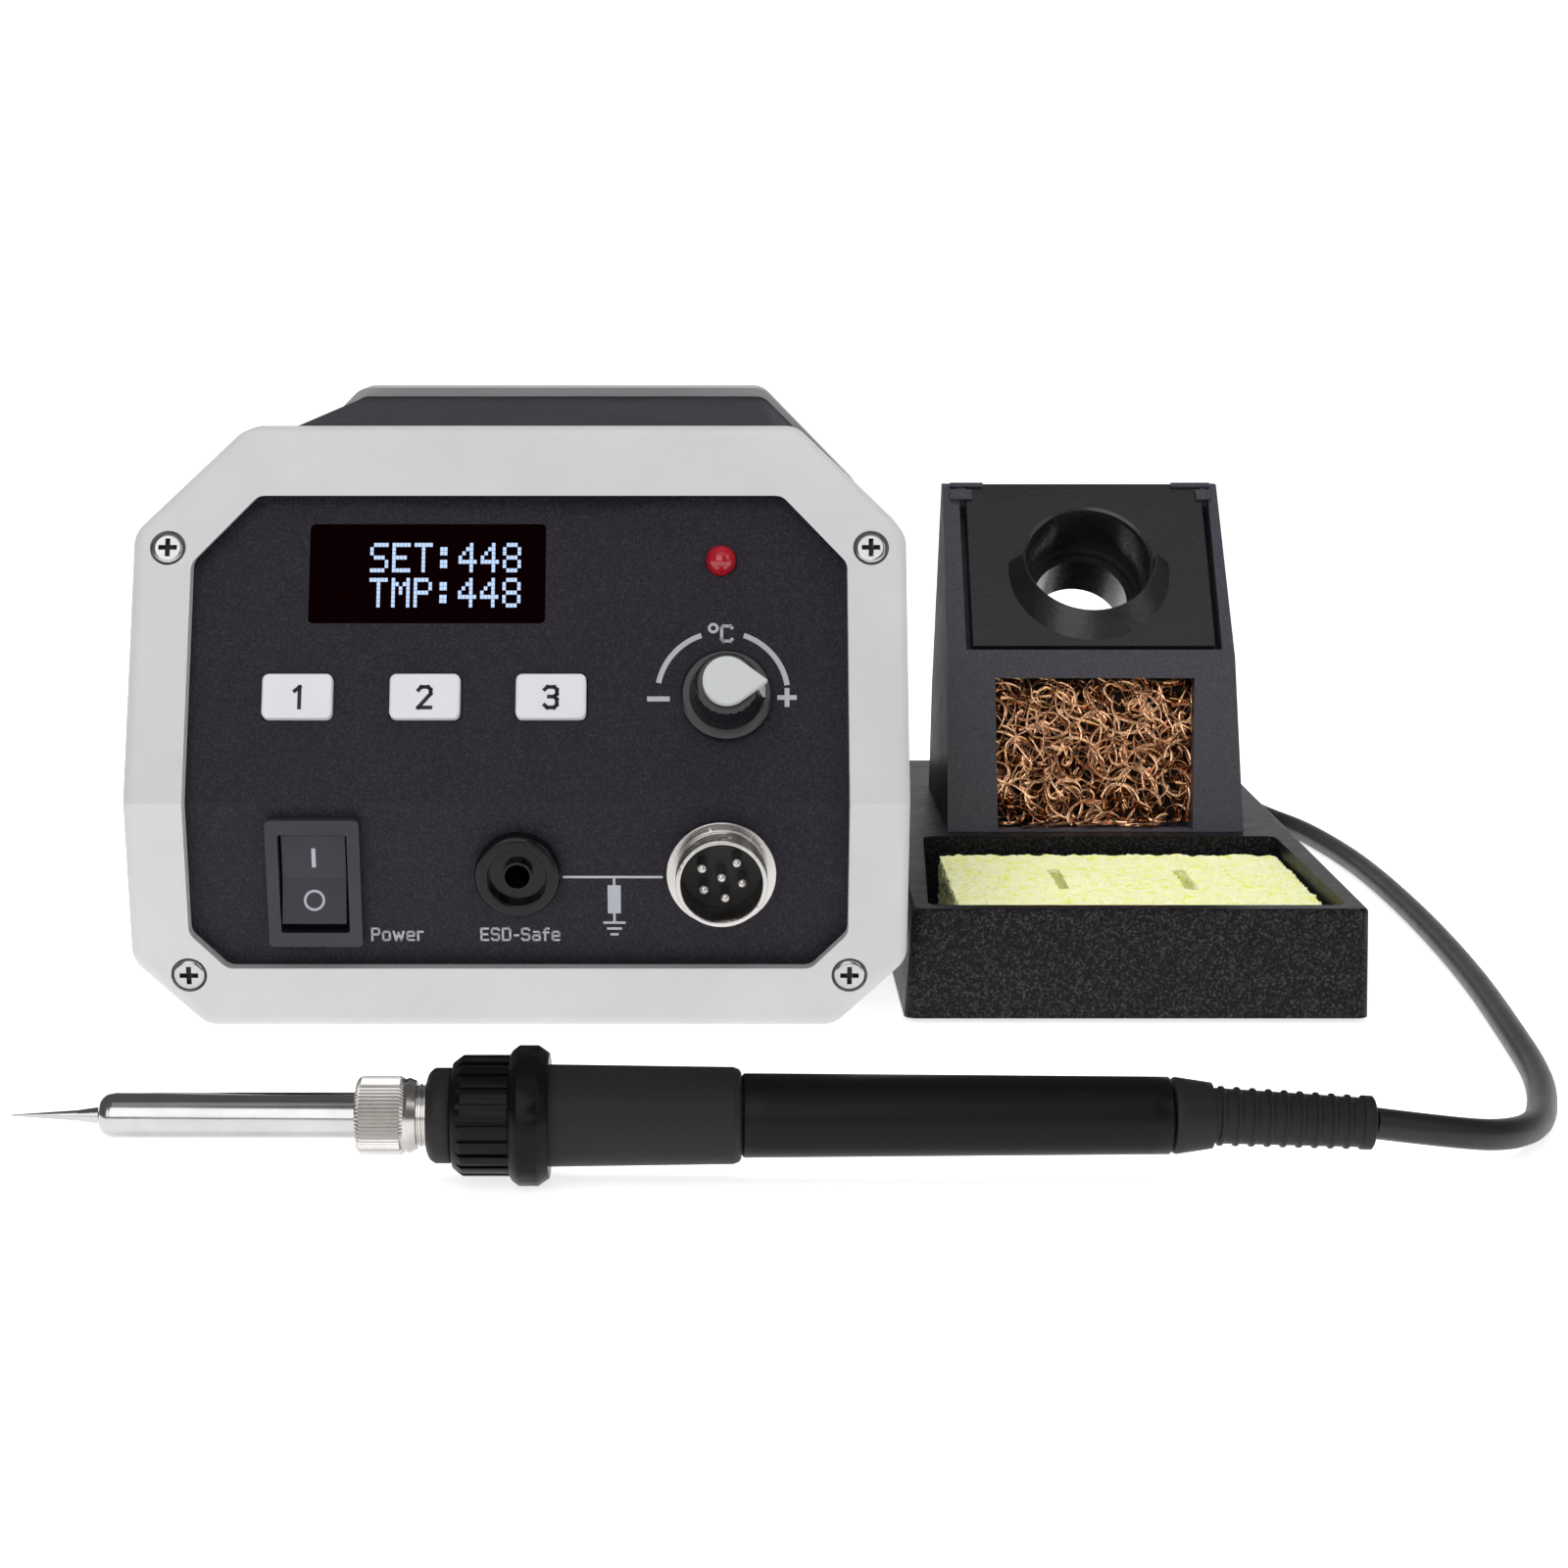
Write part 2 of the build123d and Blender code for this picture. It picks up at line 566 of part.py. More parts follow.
def rocker():
    """The paddle, level about its own pivot and then tilted with its upper half pressed in."""
    place = lower_at(ROCKER_X, ROCKER_S)
    half = PADDLE_H / 2 - 0.5
    outline = [(-half, 1.7), (0, 0.6), (half, 1.7), (half - 1.4, -4.4), (0, -5.4), (1.4 - half, -4.4)]
    points = [(-PADDLE_W / 2, y, z) for y, z in outline]
    body = extrude(make_face(Polyline(*points, close=True)), amount=PADDLE_W, dir=(1, 0, 0))
    paddle = place * Pos(0, 0, PADDLE_PIVOT) * Rot(-PADDLE_TILT, 0, 0) * Pos(0, 0, -PADDLE_PIVOT) * body
    return paddle + pivot(PIVOT_R, PADDLE_W + 2.0)


def esd_jack():
    """A collar with rounded edges round the 4 mm socket's own tube."""
    collar = Pos(0, 0, 1.2) * Cylinder(JACK_R, 2.4)
    collar = fillet(collar.edges().sort_by(Axis.Z)[-1:], 0.9)
    collar -= Pos(0, 0, 1.9) * Cylinder(4.7, 3.0)
    lip = [e for e in collar.edges() if abs(e.center().Z - 2.4) < 0.01 and e.length < 30]
    body = fillet(lip, 0.4) + Pos(0, 0, -7) * Cylinder(4.9, 14)
    body += Pos(0, 0, 1.1) * Cylinder(2.4, 1.6)
    return lower_at(JACK_X, JACK_S) * (body - Pos(0, 0, -4) * Cylinder(JACK_BORE_R, 16))


def panel_nut(place, outer, inner):
    """A hexagon nut behind the panel, clear of it by a hair."""
    thick = 3.0
    nut = extrude(RegularPolygon(outer, 6), amount=thick)
    nut -= Pos(0, 0, thick / 2) * Cylinder(inner, thick + 1)
    return place * Pos(0, 0, -PANEL_THICK - FIT - thick) * nut


def iron_socket_shell():
    """Flange, threaded barrel and the tube through the panel."""
    place = lower_at(SOCKET_X, SOCKET_S)
    body = disc(place, SOCKET_FLANGE_R, 0, SOCKET_FLANGE_H) + disc(place, SOCKET_R, 0, SOCKET_PROUD)
    for i in range(3):
        z = 2.2 + i * 1.1
        body -= disc(place, SOCKET_R + 1, z, z + 0.45) - disc(place, SOCKET_R - 0.25, z - 1, z + 2)
    body += disc(place, 7.8, -13, 0)
    body -= disc(place, SOCKET_INNER_R, -11, SOCKET_PROUD + 1)
    return body - disc(place, 6.0, -14, -10)


def iron_socket_insert():
    """The black disc the pins stand in, with its key rib along the bore."""
    place = lower_at(SOCKET_X, SOCKET_S)
    rib = place * Rot(0, 0, KEY_ANGLE) * Pos(SOCKET_INNER_R - 0.75, 0, -0.1) * Box(1.2, 2.2, 4.0)
    return disc(place, SOCKET_INNER_R - 0.05, -10.9, -1.6) + rib


def iron_socket_pins():
    """One pin in the middle and five round it, with domed ends."""
    place = lower_at(SOCKET_X, SOCKET_S)
    spots = [(0, 0)]
    for angle in PIN_ANGLES:
        turn = math.radians(angle)
        spots.append((PIN_CIRCLE_R * math.cos(turn), PIN_CIRCLE_R * math.sin(turn)))
    pins = []
    for x, y in spots:
        spot = place * Pos(x, y, 0)
        pins.append(disc(spot, PIN_R, -1.6, 2.2) + spot * Pos(0, 0, 2.2) * Sphere(PIN_R))
    return pins


# ---- control unit: inside ----
FLOOR = UNIT_BOTTOM + 2 * SHELL + FIT


def standoffs():
    posts = []
    for x in (-42, 42):
        for y in (0, 100):
            posts.append(Pos(UNIT_X + x, y, FLOOR + 3) * Cylinder(2.5, 6))
    return posts


def power_board():
    return block(UNIT_X - 48, UNIT_X + 48, -6, 106, FLOOR + 6, FLOOR + 7.6)


BOARD_TOP = FLOOR + 7.6


def transformer_core():
    body = block(UNIT_X - 44, UNIT_X - 4, 20, 68, BOARD_TOP, BOARD_TOP + 40)
    return body - block(UNIT_X - 36, UNIT_X - 12, 19, 69, BOARD_TOP + 8, BOARD_TOP + 32)


def transformer_windings():
    return block(UNIT_X - 35.8, UNIT_X - 12.2, 14, 74, BOARD_TOP + 8.2, BOARD_TOP + 31.8)


def heat_sink():
    body = block(UNIT_X + 8, UNIT_X + 40, 30, 80, BOARD_TOP, BOARD_TOP + 4)
    for i in range(7):
        x = UNIT_X + 8 + i * 5
        body += block(x, x + 2, 30, 80, BOARD_TOP + 4, BOARD_TOP + 30)
    return body


def capacitors():
    return [Pos(UNIT_X + x, 10, BOARD_TOP + 12.5) * Cylinder(8, 25) for x in (8, 28)]


FOOT_H = UNIT_BOTTOM + SHELL + FIT


def rubber_feet():
    feet = []
    for x in (-40, 40):
        for y in (5, 95):
            feet.append(Pos(UNIT_X + x, y, FOOT_H / 2) * Cylinder(6, FOOT_H))
    return feet


# ---- stand ----
def stand_base():
    """A drafted box with a rounded rim, the sponge tray in front and a hollow deck behind."""
    left, right = STAND_X - BASE_HALF, STAND_X + BASE_HALF
    outline = [(left - BASE_SPREAD_LEFT, BASE_LIFT), (right + BASE_SPREAD_RIGHT, BASE_LIFT)]
    outline += [(right, BASE_H), (left, BASE_H)]
    body = slab_y(outline, BASE_FRONT_Y, BASE_REAR_Y)
    body = fillet([e for e in body.edges() if abs((e % 0.5).Z) > 0.9], 2.0)
    body = fillet([e for e in body.edges() if abs(e.center().Z - BASE_H) < 0.01], BASE_RIM_ROUND)
    corners = [(TRAY_FRONT[0], TRAY_FRONT[2]), (TRAY_FRONT[1], TRAY_FRONT[2])]
    corners += [(TRAY_REAR[1], TRAY_REAR[2]), (TRAY_REAR[0], TRAY_REAR[2])]
    floor = make_face(Polyline(*[(x, y, TRAY_FLOOR) for x, y in corners], close=True))
    tray = extrude(floor, amount=BASE_H)
    body -= fillet(tray.edges().filter_by(Axis.Z), 2.0)
    hollow = (left + BASE_WALL, right - BASE_WALL, DECK_Y, BASE_REAR_Y - BASE_WALL)
    return body - block(*hollow, BASE_LIFT - 1, BASE_H - 2.5)


def stand_feet():
    pads = []
    for x in (-30, 30):
        for y in (BASE_FRONT_Y + 9, DECK_Y - 10):
            pads.append(Pos(STAND_X + x, y, BASE_LIFT / 2) * Cylinder(4, BASE_LIFT))
    for x in (-BASE_HALF + 1.75, BASE_HALF - 1.75):
        pads.append(Pos(STAND_X + x, BASE_REAR_Y - 12, BASE_LIFT / 2) * Box(2.6, 8, BASE_LIFT))
    return pads


SLOPE = math.atan2(TOWER_FRONT[2][0] - TOWER_FRONT[1][0], TOWER_FRONT[2][1] - TOWER_FRONT[1][1])
SLOPE_LENGTH = math.dist(TOWER_FRONT[1], TOWER_FRONT[2])


def slope_at(s, depth=0.0):
    """A frame on the tower's upper slope at the plate's middle: X right, Y up the slope, Z out."""
    y = TOWER_FRONT[1][0] + s * math.sin(SLOPE) + depth * math.cos(SLOPE)
    z = TOWER_FRONT[1][1] + s * math.cos(SLOPE) - depth * math.sin(SLOPE)
    normal = (0, -math.cos(SLOPE), math.sin(SLOPE))
    return Plane(origin=(PLATE_X, y, z), x_dir=(1, 0, 0), z_dir=normal).location


def tower_sides(inset):
    """The room between the tower's two drafted sides."""
    low, high = TOWER_HALF - inset, TOWER_TOP_HALF - inset
    top = TOWER_FRONT[2][1]
    over = (low - high) / (top - BASE_H)
    points = [(TOWER_X - low - over, BASE_H - 1), (TOWER_X + low + over, BASE_H - 1)]
    points += [(TOWER_X + high - over, top + 1), (TOWER_X - high + over, top + 1)]
    return slab_y(points, TOWER_FRONT[0][0] - 5, TOWER_REAR[2][0] + 15)


def slope_box(x0, x1, s0, s1, z0, z1):
    """A box lying on the upper slope, by its limits across, up and out of the slope."""
    spot = slope_at((s0 + s1) / 2) * Pos((x0 + x1) / 2, 0, (z0 + z1) / 2)
    return spot * Box(x1 - x0, s1 - s0, z1 - z0)


def mirrored(side, near, far):
    """The limits near and far from the middle, on one side of it, in rising order."""
    return sorted((side * near, side * far))


def top_hooks():
    """Low lips along the tower's top edge and small hooks that reach over the plate's edges."""
    hooks = []
    for side, width in zip((-1, 1), LIP_WIDTHS):
        outer = TOWER_TOP_HALF - 1.4 + side * (TOWER_X - PLATE_X)
        lip = mirrored(side, outer - width, outer)
        root = mirrored(side, RECESS_HALF, outer)
        hook = mirrored(side, RECESS_HALF - HOOK_W, outer)
        top = SLOPE_LENGTH
        hooks.append(slope_box(*lip, top - LIP_LONG, top, HOOK_LOW, HOOK_TOP))
        hooks.append(slope_box(*root, top - LIP_LONG, top, -HOOK_TOP, HOOK_TOP))
        start = top - HOOK_DOWN - HOOK_LONG
        hooks.append(slope_box(*hook, start, start + HOOK_LONG, HOOK_LOW, HOOK_TOP))
        hooks.append(slope_box(*root, start, start + HOOK_LONG, -HOOK_TOP, HOOK_TOP))
    return hooks


def stand_tower():
    """Two drafted sides, the window in front, and rails with deep gaps beside the plate's ledges."""
    outline = list(TOWER_FRONT) + list(TOWER_REAR)
    body = slab_x(outline, TOWER_X - TOWER_HALF - 2, TOWER_X + TOWER_HALF + 2) & tower_sides(0)
    inside = [(TOWER_FRONT[0][0] + TOWER_WALL, BASE_H - 1), (TOWER_FRONT[1][0] + TOWER_WALL, 49.4)]
    inside += [(TOWER_FRONT[2][0] + 3.4, 82.0), (90, 82.0), (90, BASE_H - 1)]
    body -= slab_x(inside, TOWER_X - TOWER_HALF, TOWER_X + TOWER_HALF) & tower_sides(TOWER_WALL)
    low, high = RECESS_BOTTOM_S, SLOPE_LENGTH + 4
    ledge = PLATE_HALF - LEDGE
    for side in (-1, 1):
        rail = slope_box(*mirrored(side, ledge, TOWER_HALF), low - 1.5, SLOPE_LENGTH - 1, -RAIL_DEPTH, -1)
        body += rail & tower_sides(1)
    body -= slope_box(-RECESS_HALF, RECESS_HALF, low, high, -RECESS_DEPTH, 6)
    body -= slope_box(-ledge, ledge, low + 4, high + 4, -6, 6)
    for side in (-1, 1):
        gap = mirrored(side, PLATE_HALF, RECESS_HALF)
        body -= slope_box(*gap, low, SLOPE_LENGTH - GAP_SHORT, -GAP_DEPTH, 1)
    body -= slab_y(WOOL_WINDOW, TOWER_FRONT[0][0] - 6, TOWER_FRONT[0][0] + 14)
    for hook in top_hooks():
        body += hook
    return body


def funnel_plate():
    """The plate with its mouth, the step inside, the funnel tube and the flare under the mouth."""
    hub = slope_at(FUNNEL_S)
    underside = PLATE_TOP - PLATE_THICK
    body = slope_box(-PLATE_HALF, PLATE_HALF, PLATE_BOTTOM_S, SLOPE_LENGTH, underside, PLATE_TOP)
    body += disc(hub, FUNNEL_MOUTH_R + FUNNEL_WALL, -FUNNEL_DEPTH, PLATE_TOP)
    rim = FUNNEL_MOUTH_R + FUNNEL_RIM
    foot = Pos(0, -FLARE_DOWN, 0) * Circle(FLARE_R)
    flare = loft([foot, Pos(0, 0, FLARE_TOP) * Circle(rim + 0.2)])
    keep = Pos(0, -2 * FLARE_R, 2) * Box(4 * FLARE_R, 4 * FLARE_R, 8)
    body += hub * (flare & keep)
    mouth = [(0, -FUNNEL_MOUTH_DEPTH), (FUNNEL_MOUTH_R, -FUNNEL_MOUTH_DEPTH), (FUNNEL_MOUTH_R, -0.9)]
    mouth += [(FUNNEL_MOUTH_R + 0.3, -0.2), (rim, PLATE_TOP), (rim, 6), (0, 6)]
    body -= hub * revolve(make_face(Polyline(*[(r, 0, z) for r, z in mouth], close=True)), Axis.Z, 360)
    body -= disc(hub, FUNNEL_STEP_R, -FUNNEL_STEP_DEPTH, 1)
    return body - disc(hub, FUNNEL_BORE_R, -FUNNEL_DEPTH - 1, 1)


def wool():
    """The space the curled brass wool fills, below the funnel."""
    back = 59.0
    outline = [(33.7, BASE_H + 0.1), (43.9, 47.2), (53.0, 47.2), (back, 42.8), (back, BASE_H + 0.1)]
    return slab_x(outline, PLATE_X - WOOL_HALF, PLATE_X + WOOL_HALF)


def sponge():
    body = Pos(SPONGE_X, SPONGE_Y, TRAY_FLOOR + FIT + SPONGE_H / 2) * Box(SPONGE_W, SPONGE_L, SPONGE_H)
    body = fillet(body.edges().filter_by(Axis.Z), 2.5)
    for x in SLOT_XS:
        slot = Pos(SPONGE_X + x, SPONGE_Y + SLOT_Y, TRAY_FLOOR + FIT + SPONGE_H)
        body -= slot * Box(SLOT_W, SLOT_L, 2 * SLOT_DEPTH)
    return body


# ---- iron ----
def tip():
    """A fine conical tip: the point, its neck and the shoulder that the sleeve holds."""
    return turned([(0.01, 0.12), (9.0, 0.75), (12.0, 1.2), (12.2, 1.2), (12.3, 1.9), (18.0, 1.9)])


def tip_sleeve():
    nose = [(12.1, 2.0), (12.4, 2.5), (13.1, 2.95), (14.2, 3.15)]
    outer = turned(nose + [(48.4, 3.15), (48.5, 4.1), (49.1, 4.1)])
    return outer - bore(12.0, 18.1, 1.95) - bore(18.0, 49.5, 2.7)


def knurled_nut():
    body = turned([(47.1, 4.7), (47.7, 5.35), (53.6, 5.35), (54.3, 5.2), (55.3, 4.75)])
    body -= bore(46.5, 48.3, 3.22)
    return body - bore(48.2, 56.0, 4.45)


def threaded_ferrule():
    stations = [(49.2, 4.1)]
    for i in range(4):
        d = 54.9 + i * 0.7
        stations += [(d, 4.1), (d + 0.1, 4.3), (d + 0.4, 4.3), (d + 0.5, 4.1)]
    stations += [(60.0, 4.1)]
    return turned(stations) - bore(48, 61, 2.7)


def heater():
    return turned([(19.0, 1.9), (20.0, 2.4), (72.0, 2.4)])


def front_collar():
    return turned([(56.7, 5.2), (57.0, 6.0), (57.8, 6.5), (60.2, 6.5)]) - bore(56.5, 61, 4.15 + 0.2)


def ribbed_collar():
    flange = [(68.3, 8.9), (69.2, 9.55), (71.8, 9.55), (73.3, 8.5)]
    body = turned([(60.2, 7.2), (61.6, 8.25), (67.9, 8.25)] + flange)
    body -= bore(60, 62, 4.35)
    body -= bore(60, 74, 2.7)
    ribs = 22
    for i in range(ribs):
        turn = Rot(360 * i / ribs, 0, 0)
        body -= Pos(IRON_TIP_X + 64.3, IRON_Y, IRON_Z) * turn * Pos(0, 0, 8.4) * Box(7.4, 0.7, 1.3)
    return body


def soft_grip():
    stations = [(73.3, 6.95), (84.0, 6.8), (98.3, 6.6), (99.1, 6.3), (99.4, 5.8)]
    return turned(stations) - bore(73, 100, 5.3)


def handle_tube():
    body = turned([(73.3, 5.2), (99.5, 5.25), (99.6, 5.75), (157.5, 5.28), (157.8, 5.1)])
    return body - bore(73, 159, 3.6)


def relief_frame():
    """The relief's ribbed end droops a little from where it leaves the head."""
    return Pos(IRON_TIP_X + RELIEF_START, IRON_Y, IRON_Z) * Rot(0, RELIEF_DROOP, 0)


def strain_relief():
    """A tapered head and a drooping sleeve with nine narrow rings and a broad one at its end."""
    head = turned([(158.1, 5.1), (158.5, 5.25), (163.4, 4.5), (RELIEF_START + 0.1, 4.2)])
    length = RELIEF_END - RELIEF_START
    pitch = (length - 1.8) / 9.4
    points = [(-0.8, 0), (-0.8, 3.8)]
    for i in range(9):
        middle = (i + 0.6) * pitch
        radius = 3.78 - 0.4 * i / 9
        points += [(middle - 0.45, radius), (middle - 0.2, radius + 0.3), (middle + 0.2, radius + 0.3)]
        points += [(middle + 0.45, radius)]
    points += [(length - 1.8, 3.4), (length - 1.6, 3.7), (length - 0.2, 3.7), (length, 3.4), (length, 0)]
    face = make_face(Polyline(*[(x, 0, r) for x, r in points], close=True))
    return head + relief_frame() * revolve(face, Axis.X, 360)


# ---- plug on the cable's far end, lying on the coil ----
def plug_part(stations, cutters=()):
    """A turned part on the plug's axis; distances run from the cable end towards the contacts."""
    start, end = stations[0][0], stations[-1][0]
    outline = [(start, 0)] + list(stations) + [(end, 0)]
    face = make_face(Polyline(*[(-d, 0, r) for d, r in outline], close=True))
    body = revolve(face, Axis.X, 360)
    for first, last, radius in cutters:
        body -= Pos(-(first + last) / 2, 0, 0) * Rot(0, 90, 0) * Cylinder(radius, last - first)
    return Pos(PLUG_REAR_X, PLUG_Y, PLUG_Z) * body


def plug_shell():
    stations = [(0, 4.2), (8, 6.0), (8.1, 7.6), (22, 7.6), (22.1, 6.2), (34, 6.2)]
    return plug_part(stations, [(10, 37, 5.6)])


def plug_coupling_ring():
    stations = [(22.6, 8.6), (23.2, 9.0), (35.4, 9.0), (36.0, 8.5)]
    return plug_part(stations, [(22, 37, 6.5)])


def plug_insert():
    return plug_part([(12, 5.5), (32, 5.5)])


def cord_coil():
    """The coil's outer shape: a low ring that holds all of its turns."""
    ring = Cylinder(COIL_MID_R + COIL_HALF_WIDTH, COIL_TOP)
    ring -= Cylinder(COIL_MID_R - COIL_HALF_WIDTH, COIL_TOP + 1)
    ring = fillet(ring.edges(), 1.8)
    return Pos(COIL_X, COIL_Y, COIL_TOP / 2) * ring


def build():
    os.makedirs("parts", exist_ok=True)
    write(front_bezel(), "front_bezel")
    write(front_panel(), "front_panel")
    write(casing(), "casing")
    write(rear_cap(), "rear_cap")
    write(rear_panel(), "rear_panel")
    write([pan_screw(place, 9) for place in screw_places()], "bezel_screws")
    write([pan_screw(place, 4.6) for place in rear_screw_places()], "rear_screws")
    write(mains_inlet(), "mains_inlet")
    write(mains_pins(), "mains_pins")
    write(fuse_drawer(), "fuse_drawer")
    write(fuse(), "fuse")
    write(display_window(), "display_window")
    write(display_module(), "display_module")
    write(status_led(), "status_led")
    for number, x in enumerate(BUTTON_XS, start=1):
        write(preset_button(x), f"preset_button_{number}")
    write([button_switch(x) for x in BUTTON_XS], "button_switches")
    write(control_board(), "control_board")
    write(potentiometer(), "potentiometer")
    write(knob(), "knob")
    write(knob_cap(), "knob_cap")
    write(rocker_switch_housing(), "rocker_switch_housing")
    write(rocker(), "rocker")
    write(esd_jack(), "esd_jack")
    write(panel_nut(lower_at(JACK_X, JACK_S), 7.5, 4.95), "esd_jack_nut")
    write(iron_socket_shell(), "iron_socket_shell")
    write(iron_socket_insert(), "iron_socket_insert")
    write(iron_socket_pins(), "iron_socket_pins")
    write(panel_nut(lower_at(SOCKET_X, SOCKET_S), 11.0, 7.9), "iron_socket_nut")
    write(standoffs(), "standoffs")
    write(power_board(), "power_board")
    write(transformer_core(), "transformer_core")
    write(transformer_windings(), "transformer_windings")
    write(heat_sink(), "heat_sink")
    write(capacitors(), "capacitors")
    write(rubber_feet(), "rubber_feet")
    write(stand_base(), "stand_base")
    write(stand_feet(), "stand_feet")
    write(stand_tower(), "stand_tower")
    write(funnel_plate(), "funnel_plate")
    write(wool(), "wool")
    write(sponge(), "sponge")
    write(tip(), "tip")
    write(tip_sleeve(), "tip_sleeve")
    write(knurled_nut(), "knurled_nut")
    write(threaded_ferrule(), "threaded_ferrule")
    write(heater(), "heater")
    write(front_collar(), "front_collar")
    write(ribbed_collar(), "ribbed_collar")
    write(soft_grip(), "soft_grip")
    write(handle_tube(), "handle_tube")
    write(strain_relief(), "strain_relief")
    write(tube_along(CORD_ROUTE, "iron_cord"), "iron_cord")
    write(cord_coil(), "cord_coil")
    write(tube_along(TAIL_ROUTE, "cord_tail"), "cord_tail")
    write(plug_shell(), "plug_shell")
    write(plug_coupling_ring(), "plug_coupling_ring")
    write(plug_insert(), "plug_insert")


build()
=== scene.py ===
import json
import math
import random

import bpy
from mathutils import Matrix, Vector


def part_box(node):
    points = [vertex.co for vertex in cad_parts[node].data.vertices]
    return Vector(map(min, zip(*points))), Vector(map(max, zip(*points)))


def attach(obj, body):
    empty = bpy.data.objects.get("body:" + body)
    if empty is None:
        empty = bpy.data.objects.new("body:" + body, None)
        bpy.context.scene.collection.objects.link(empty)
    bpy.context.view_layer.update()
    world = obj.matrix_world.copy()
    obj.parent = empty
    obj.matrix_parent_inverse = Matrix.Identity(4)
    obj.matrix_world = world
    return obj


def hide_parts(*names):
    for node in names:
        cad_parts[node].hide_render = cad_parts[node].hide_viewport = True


# Soldering iron station: looks, printed marks, wool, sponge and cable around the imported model.
# All of it is in the model's own frame. Blender counts in metres, and so do the lights and the sheets
# of the studio. The other sizes and places are in millimetres, unless they carry MM.

MM = 0.001
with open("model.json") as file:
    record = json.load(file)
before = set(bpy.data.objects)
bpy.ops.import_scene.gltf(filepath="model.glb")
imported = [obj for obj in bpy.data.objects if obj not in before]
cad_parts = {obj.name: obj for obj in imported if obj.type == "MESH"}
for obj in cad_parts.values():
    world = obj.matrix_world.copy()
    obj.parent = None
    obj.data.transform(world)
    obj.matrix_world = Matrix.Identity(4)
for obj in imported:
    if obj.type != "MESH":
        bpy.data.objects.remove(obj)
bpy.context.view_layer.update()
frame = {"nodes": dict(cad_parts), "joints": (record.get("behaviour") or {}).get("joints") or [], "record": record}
RECORD = frame["record"]
JOINTS = {joint["name"]: joint for joint in frame["joints"]}
MOUNTS = {mount["name"]: mount for mount in RECORD["mounts"]}


# ---- places read from the frame ----
def middle(node):
    low, high = (Vector(corner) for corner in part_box(node))
    return (low + high) / 2


class PanelFrame:
    """A flat face of the front panel: x right, y up the face, out of the face by lift."""

    def __init__(self, origin, normal):
        self.origin = Vector(origin)
        self.out = Vector(normal).normalized()
        self.right = Vector((1, 0, 0))
        self.up = self.out.cross(self.right)

    def matrix(self, x, y, lift=0.0):
        place = self.origin + (self.right * x + self.up * y + self.out * lift) * MM
        turn = Matrix((self.right, self.up, self.out)).transposed().to_4x4()
        return Matrix.Translation(place) @ turn

    def local(self, point):
        """x and y on the face, in millimetres, of a point in the frame."""
        offset = (Vector(point) - self.origin) / MM
        return offset.dot(self.right), offset.dot(self.up)


# The bonding jack's mount lies this far behind the panel's lower face.
JACK_DEPTH = 5.0
UPPER = PanelFrame(JOINTS["knob_turn"]["pos_m"], JOINTS["knob_turn"]["axis"])
LOWER_OUT = Vector(MOUNTS["bonding_jack"]["axis"])
LOWER = PanelFrame(Vector(MOUNTS["bonding_jack"]["pos_m"]) + LOWER_OUT * JACK_DEPTH * MM, LOWER_OUT)


def add_object(name, data):
    """A new object for the data, linked into the scene."""
    piece = bpy.data.objects.new(name, data)
    bpy.context.scene.collection.objects.link(piece)
    return piece


# ---- camera ----
CAMERA_PLACE = (-7.65 * MM, -514.7 * MM, 125.5 * MM)
CAMERA_PITCH = math.radians(10.11)
CAMERA_LENS = 68.6
CAMERA_SENSOR = 36
CAMERA_SHIFT_X = 0.05125
CAMERA_NEAR = 10 * MM


def add_camera():
    data = bpy.data.cameras.new("camera")
    data.lens = CAMERA_LENS
    data.sensor_width = CAMERA_SENSOR
    data.shift_x = CAMERA_SHIFT_X
    data.clip_start = CAMERA_NEAR
    camera = add_object("camera", data)
    camera.location = CAMERA_PLACE
    camera.rotation_euler = (math.pi / 2 - CAMERA_PITCH, 0, 0)
    bpy.context.scene.camera = camera


# ---- the cable's route ----
CORD_DIAMETER = 4.4 * MM
CORD_REST = 2.25
COIL_CENTRE = (77.35, 161.0)
COIL_OUTER, COIL_INNER = 29.05, 19.95
COIL_UPPER_LAYER = 6.75
COIL_TURNS_BELOW = 2.0
COIL_TURNS_ABOVE = 2.0
COIL_CHANGE_TURNS = 0.5
COIL_CLIMB_TURNS = 0.25
COIL_STEPS = 16
# The whole cable in metres, coil and tail with it.
RELIEF_TIP = (83.475, -121.9, 8.559)
CORD_ROUTE = [
    RELIEF_TIP,
    (93.9, -119.2, 6.5),
    (103.4, -114.4, 4.4),
    (110.6, -105.6, 3.1),
    (115.2, -92.8, 2.4),
    (119.2, -75.6, CORD_REST),
    (121.8, -50.0, CORD_REST),
    (125.0, -14.0, CORD_REST),
    (126.8, 30.0, CORD_REST),
    (126.6, 72.0, CORD_REST),
    (124.9, 97.0, CORD_REST),
    (121.7, 120.0, CORD_REST),
    (117.2, 134.0, CORD_REST),
    (114.2, 147.0, CORD_REST),
    (113.0, 160.0, CORD_REST),
    (109.5, 174.0, CORD_REST),
    (101.5, 185.0, CORD_REST),
    (90.0, 190.2, CORD_REST),
]
TAIL_ROUTE = [
    (96.0, 138.6, 9.8),
    (107.0, 152.0, 13.4),
    (105.8, 168.6, 16.4),
    (96.2, 177.5, 18.1),
    (84.0, 177.5, 18.1),
]


